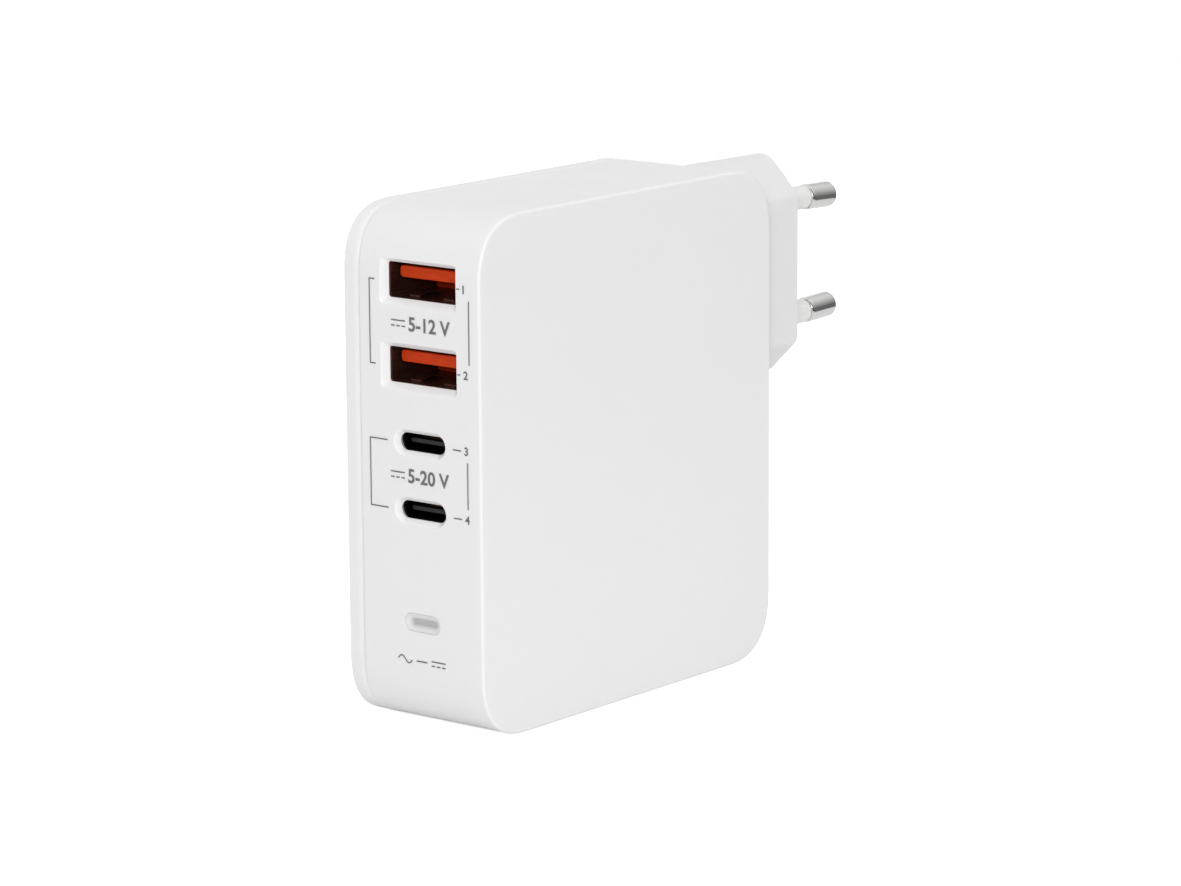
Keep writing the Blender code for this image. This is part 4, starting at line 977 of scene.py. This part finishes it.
FLOOR_DROP = 0.1 * MM
FLOOR_SIZE = 0.9
PAPER_FIBRE = 2.0 * MM
TABLE_WHITE = 0.75
TABLE_GLEAM = 0.12
DOME_STRENGTH = 0.60
BACKDROP_WHITE = 1.0
CARD_RADIUS = 0.22
CARD_HEIGHT = 0.19
CARD_STEPS = 48
CARD_START = -30
CARD_END = 112
CARD_DARK = 0.17
TALL_SHARE = 3
TALL_END = 17.2

# Sweep paper: flat matt white. It glows a little for the lens, so that the ground reads as white
# and keeps the object's shadow, and less in reflections, and sheds no light on the object.
floor_material = bpy.data.materials.new("matt_white_sweep_paper")
floor_material.use_nodes = True
tree = floor_material.node_tree
tree.nodes.clear()
place = add(tree, "ShaderNodeTexCoord", {}, {}).outputs["Object"]
fibre = add(tree, "ShaderNodeTexNoise", {"Scale": 1 / PAPER_FIBRE, "Detail": 3.0},
            {"Vector": place}).outputs[0]
tone = add(tree, "ShaderNodeMix", {"data_type": "RGBA", 6: linear("#F7F7F7"),
                                   7: linear("#F4F4F4")}, {0: fibre})
paper = add(tree, "ShaderNodeBsdfDiffuse", {}, {"Color": tone.outputs[2]})
ray = add(tree, "ShaderNodeLightPath", {}, {})
mirrored = add(tree, "ShaderNodeMath", {"operation": "MAXIMUM"},
               {0: ray.outputs["Is Glossy Ray"], 1: ray.outputs["Is Transmission Ray"]})
gleam = add(tree, "ShaderNodeMath", {"operation": "MULTIPLY", 1: TABLE_GLEAM},
            {0: mirrored.outputs[0]})
lift = add(tree, "ShaderNodeMapRange", {"To Max": TABLE_WHITE},
           {"Value": ray.outputs["Is Camera Ray"]})
glow_level = add(tree, "ShaderNodeMath", {"operation": "MAXIMUM"},
                 {0: lift.outputs[0], 1: gleam.outputs[0]})
glow = add(tree, "ShaderNodeEmission", {"Color": (1, 1, 1, 1)}, {"Strength": glow_level.outputs[0]})
seen = add(tree, "ShaderNodeAddShader", {}, {0: paper.outputs[0], 1: glow.outputs[0]})
add(tree, "ShaderNodeOutputMaterial", {}, {"Surface": seen.outputs[0]})
bpy.ops.mesh.primitive_plane_add(size=FLOOR_SIZE, location=(0, 0, -FLOOR_DROP))
floor = bpy.context.object
floor.name = "studio_floor"
floor.data.materials.append(floor_material)

world = bpy.data.worlds.new("studio_dome")
bpy.context.scene.world = world
world.use_nodes = True
tree = world.node_tree
tree.nodes.clear()
ray = add(tree, "ShaderNodeLightPath", {}, {})
mirrored = add(tree, "ShaderNodeMath", {"operation": "MAXIMUM"},
               {0: ray.outputs["Is Glossy Ray"], 1: ray.outputs["Is Transmission Ray"]})
seen = add(tree, "ShaderNodeMath", {"operation": "MAXIMUM"},
           {0: ray.outputs["Is Camera Ray"], 1: mirrored.outputs[0]})
dome = add(tree, "ShaderNodeBackground", {"Color": (1, 1, 1, 1), "Strength": DOME_STRENGTH}, {})
backdrop = add(tree, "ShaderNodeBackground", {"Color": (1, 1, 1, 1),
                                              "Strength": BACKDROP_WHITE}, {})
both = add(tree, "ShaderNodeMixShader", {}, {0: seen.outputs[0], 1: dome.outputs[0],
                                             2: backdrop.outputs[0]})
add(tree, "ShaderNodeOutputWorld", {}, {"Surface": both.outputs[0]})


def bearing(azimuth, elevation):
    """The direction towards a compass azimuth (0 is ahead of the ports) and an elevation."""
    a = math.radians(azimuth)
    e = math.radians(elevation)
    return Vector((math.sin(a) * math.cos(e), -math.cos(a) * math.cos(e), math.sin(e)))


# Graduated card: darkest at its foot and beside the body, whiter upwards and towards the back.
card_material = bpy.data.materials.new("graduated_grey_card")
card_material.use_nodes = True
tree = card_material.node_tree
tree.nodes.clear()
place = add(tree, "ShaderNodeTexCoord", {}, {}).outputs["Object"]
parts = add(tree, "ShaderNodeSeparateXYZ", {}, {0: place})
level = add(tree, "ShaderNodeMapRange", {"From Min": 0.3 * CARD_HEIGHT, "From Max": CARD_HEIGHT,
                                         "To Min": CARD_DARK, "To Max": 1.0},
            {"Value": parts.outputs["Z"]})
share = add(tree, "ShaderNodeMapRange", {"From Min": 0.3 * CARD_RADIUS,
                                         "From Max": 0.6 * CARD_RADIUS, "To Min": 0.1},
            {"Value": parts.outputs["Y"]})
tone = add(tree, "ShaderNodeMath", {"operation": "MULTIPLY"},
           {0: level.outputs[0], 1: share.outputs[0]})
shine = add(tree, "ShaderNodeEmission", {"Color": (1, 1, 1, 1)}, {"Strength": tone.outputs[0]})
add(tree, "ShaderNodeOutputMaterial", {}, {"Surface": shine.outputs[0]})
form = bmesh.new()
foot_row = []
head_row = []
for i in range(CARD_STEPS + 1):
    turn = CARD_START + (CARD_END - CARD_START) * i / CARD_STEPS
    x = CARD_RADIUS * math.cos(math.radians(turn))
    y = CARD_RADIUS * math.sin(math.radians(turn))
    height = CARD_HEIGHT * (TALL_SHARE if turn < TALL_END else 1)
    foot_row.append(form.verts.new((x, y, 0)))
    head_row.append(form.verts.new((x, y, height)))
for i in range(CARD_STEPS):
    form.faces.new((foot_row[i], foot_row[i + 1], head_row[i + 1], head_row[i]))
mesh = bpy.data.meshes.new("reflector_card")
form.to_mesh(mesh)
form.free()
mesh.materials.append(card_material)
card = bpy.data.objects.new("reflector_card", mesh)
bpy.context.scene.collection.objects.link(card)
card.visible_camera = False
card.visible_diffuse = False
card.visible_transmission = False
card.visible_shadow = False

heart = Vector((0, 0, TOP / 2))


def soft_box(name, azimuth, elevation, distance, size, power):
    """A square soft box that looks at the middle of the object."""
    lamp = bpy.data.lights.new(name, "AREA")
    lamp.shape = "SQUARE"
    lamp.size = size
    lamp.energy = power
    box = bpy.data.objects.new(name, lamp)
    bpy.context.scene.collection.objects.link(box)
    way = bearing(azimuth, elevation)
    box.location = heart + way * distance
    box.rotation_euler = way.to_track_quat("Z", "Y").to_euler()
    return box


soft_box("key_box", azimuth=36.5, elevation=16.0, distance=1.2, size=0.2, power=4.6)
soft_box("side_box", azimuth=85.0, elevation=20.0, distance=0.9, size=0.5, power=0.78)
overhead = soft_box("overhead_box", azimuth=0.0, elevation=89.0, distance=1.2, size=0.9,
                    power=3.25)
overhead.visible_glossy = False

# ---------------------------------------------------------------- camera
# A long lens from ahead and to the right, a little above the object, that sees both the ports
# and the wide side.

CAMERA_AZIMUTH = 38.763
CAMERA_ELEVATION = 11.397
CAMERA_ROLL = -0.391
CAMERA_DISTANCE = 667.893 * MM
CAMERA_SIDEWAYS = 3.904 * MM
CAMERA_UPWARDS = -0.890 * MM
LENS = 138.58
SENSOR = 36.0

camera_data = bpy.data.cameras.new("camera")
camera_data.lens = LENS
camera_data.sensor_width = SENSOR
camera = bpy.data.objects.new("camera", camera_data)
bpy.context.scene.collection.objects.link(camera)
backward = bearing(CAMERA_AZIMUTH, CAMERA_ELEVATION)
level = Vector((0, 0, 1)).cross(backward).normalized()
upright = backward.cross(level)
roll = math.radians(CAMERA_ROLL)
sideways = level * math.cos(roll) + upright * math.sin(roll)
upwards = upright * math.cos(roll) - level * math.sin(roll)
stand = heart + backward * CAMERA_DISTANCE + sideways * CAMERA_SIDEWAYS + upwards * CAMERA_UPWARDS
camera.matrix_world = Matrix.Translation(stand) @ Matrix(
    (sideways, upwards, backward)).transposed().to_4x4()
bpy.context.scene.camera = camera
bpy.context.scene.view_settings.view_transform = "Standard"
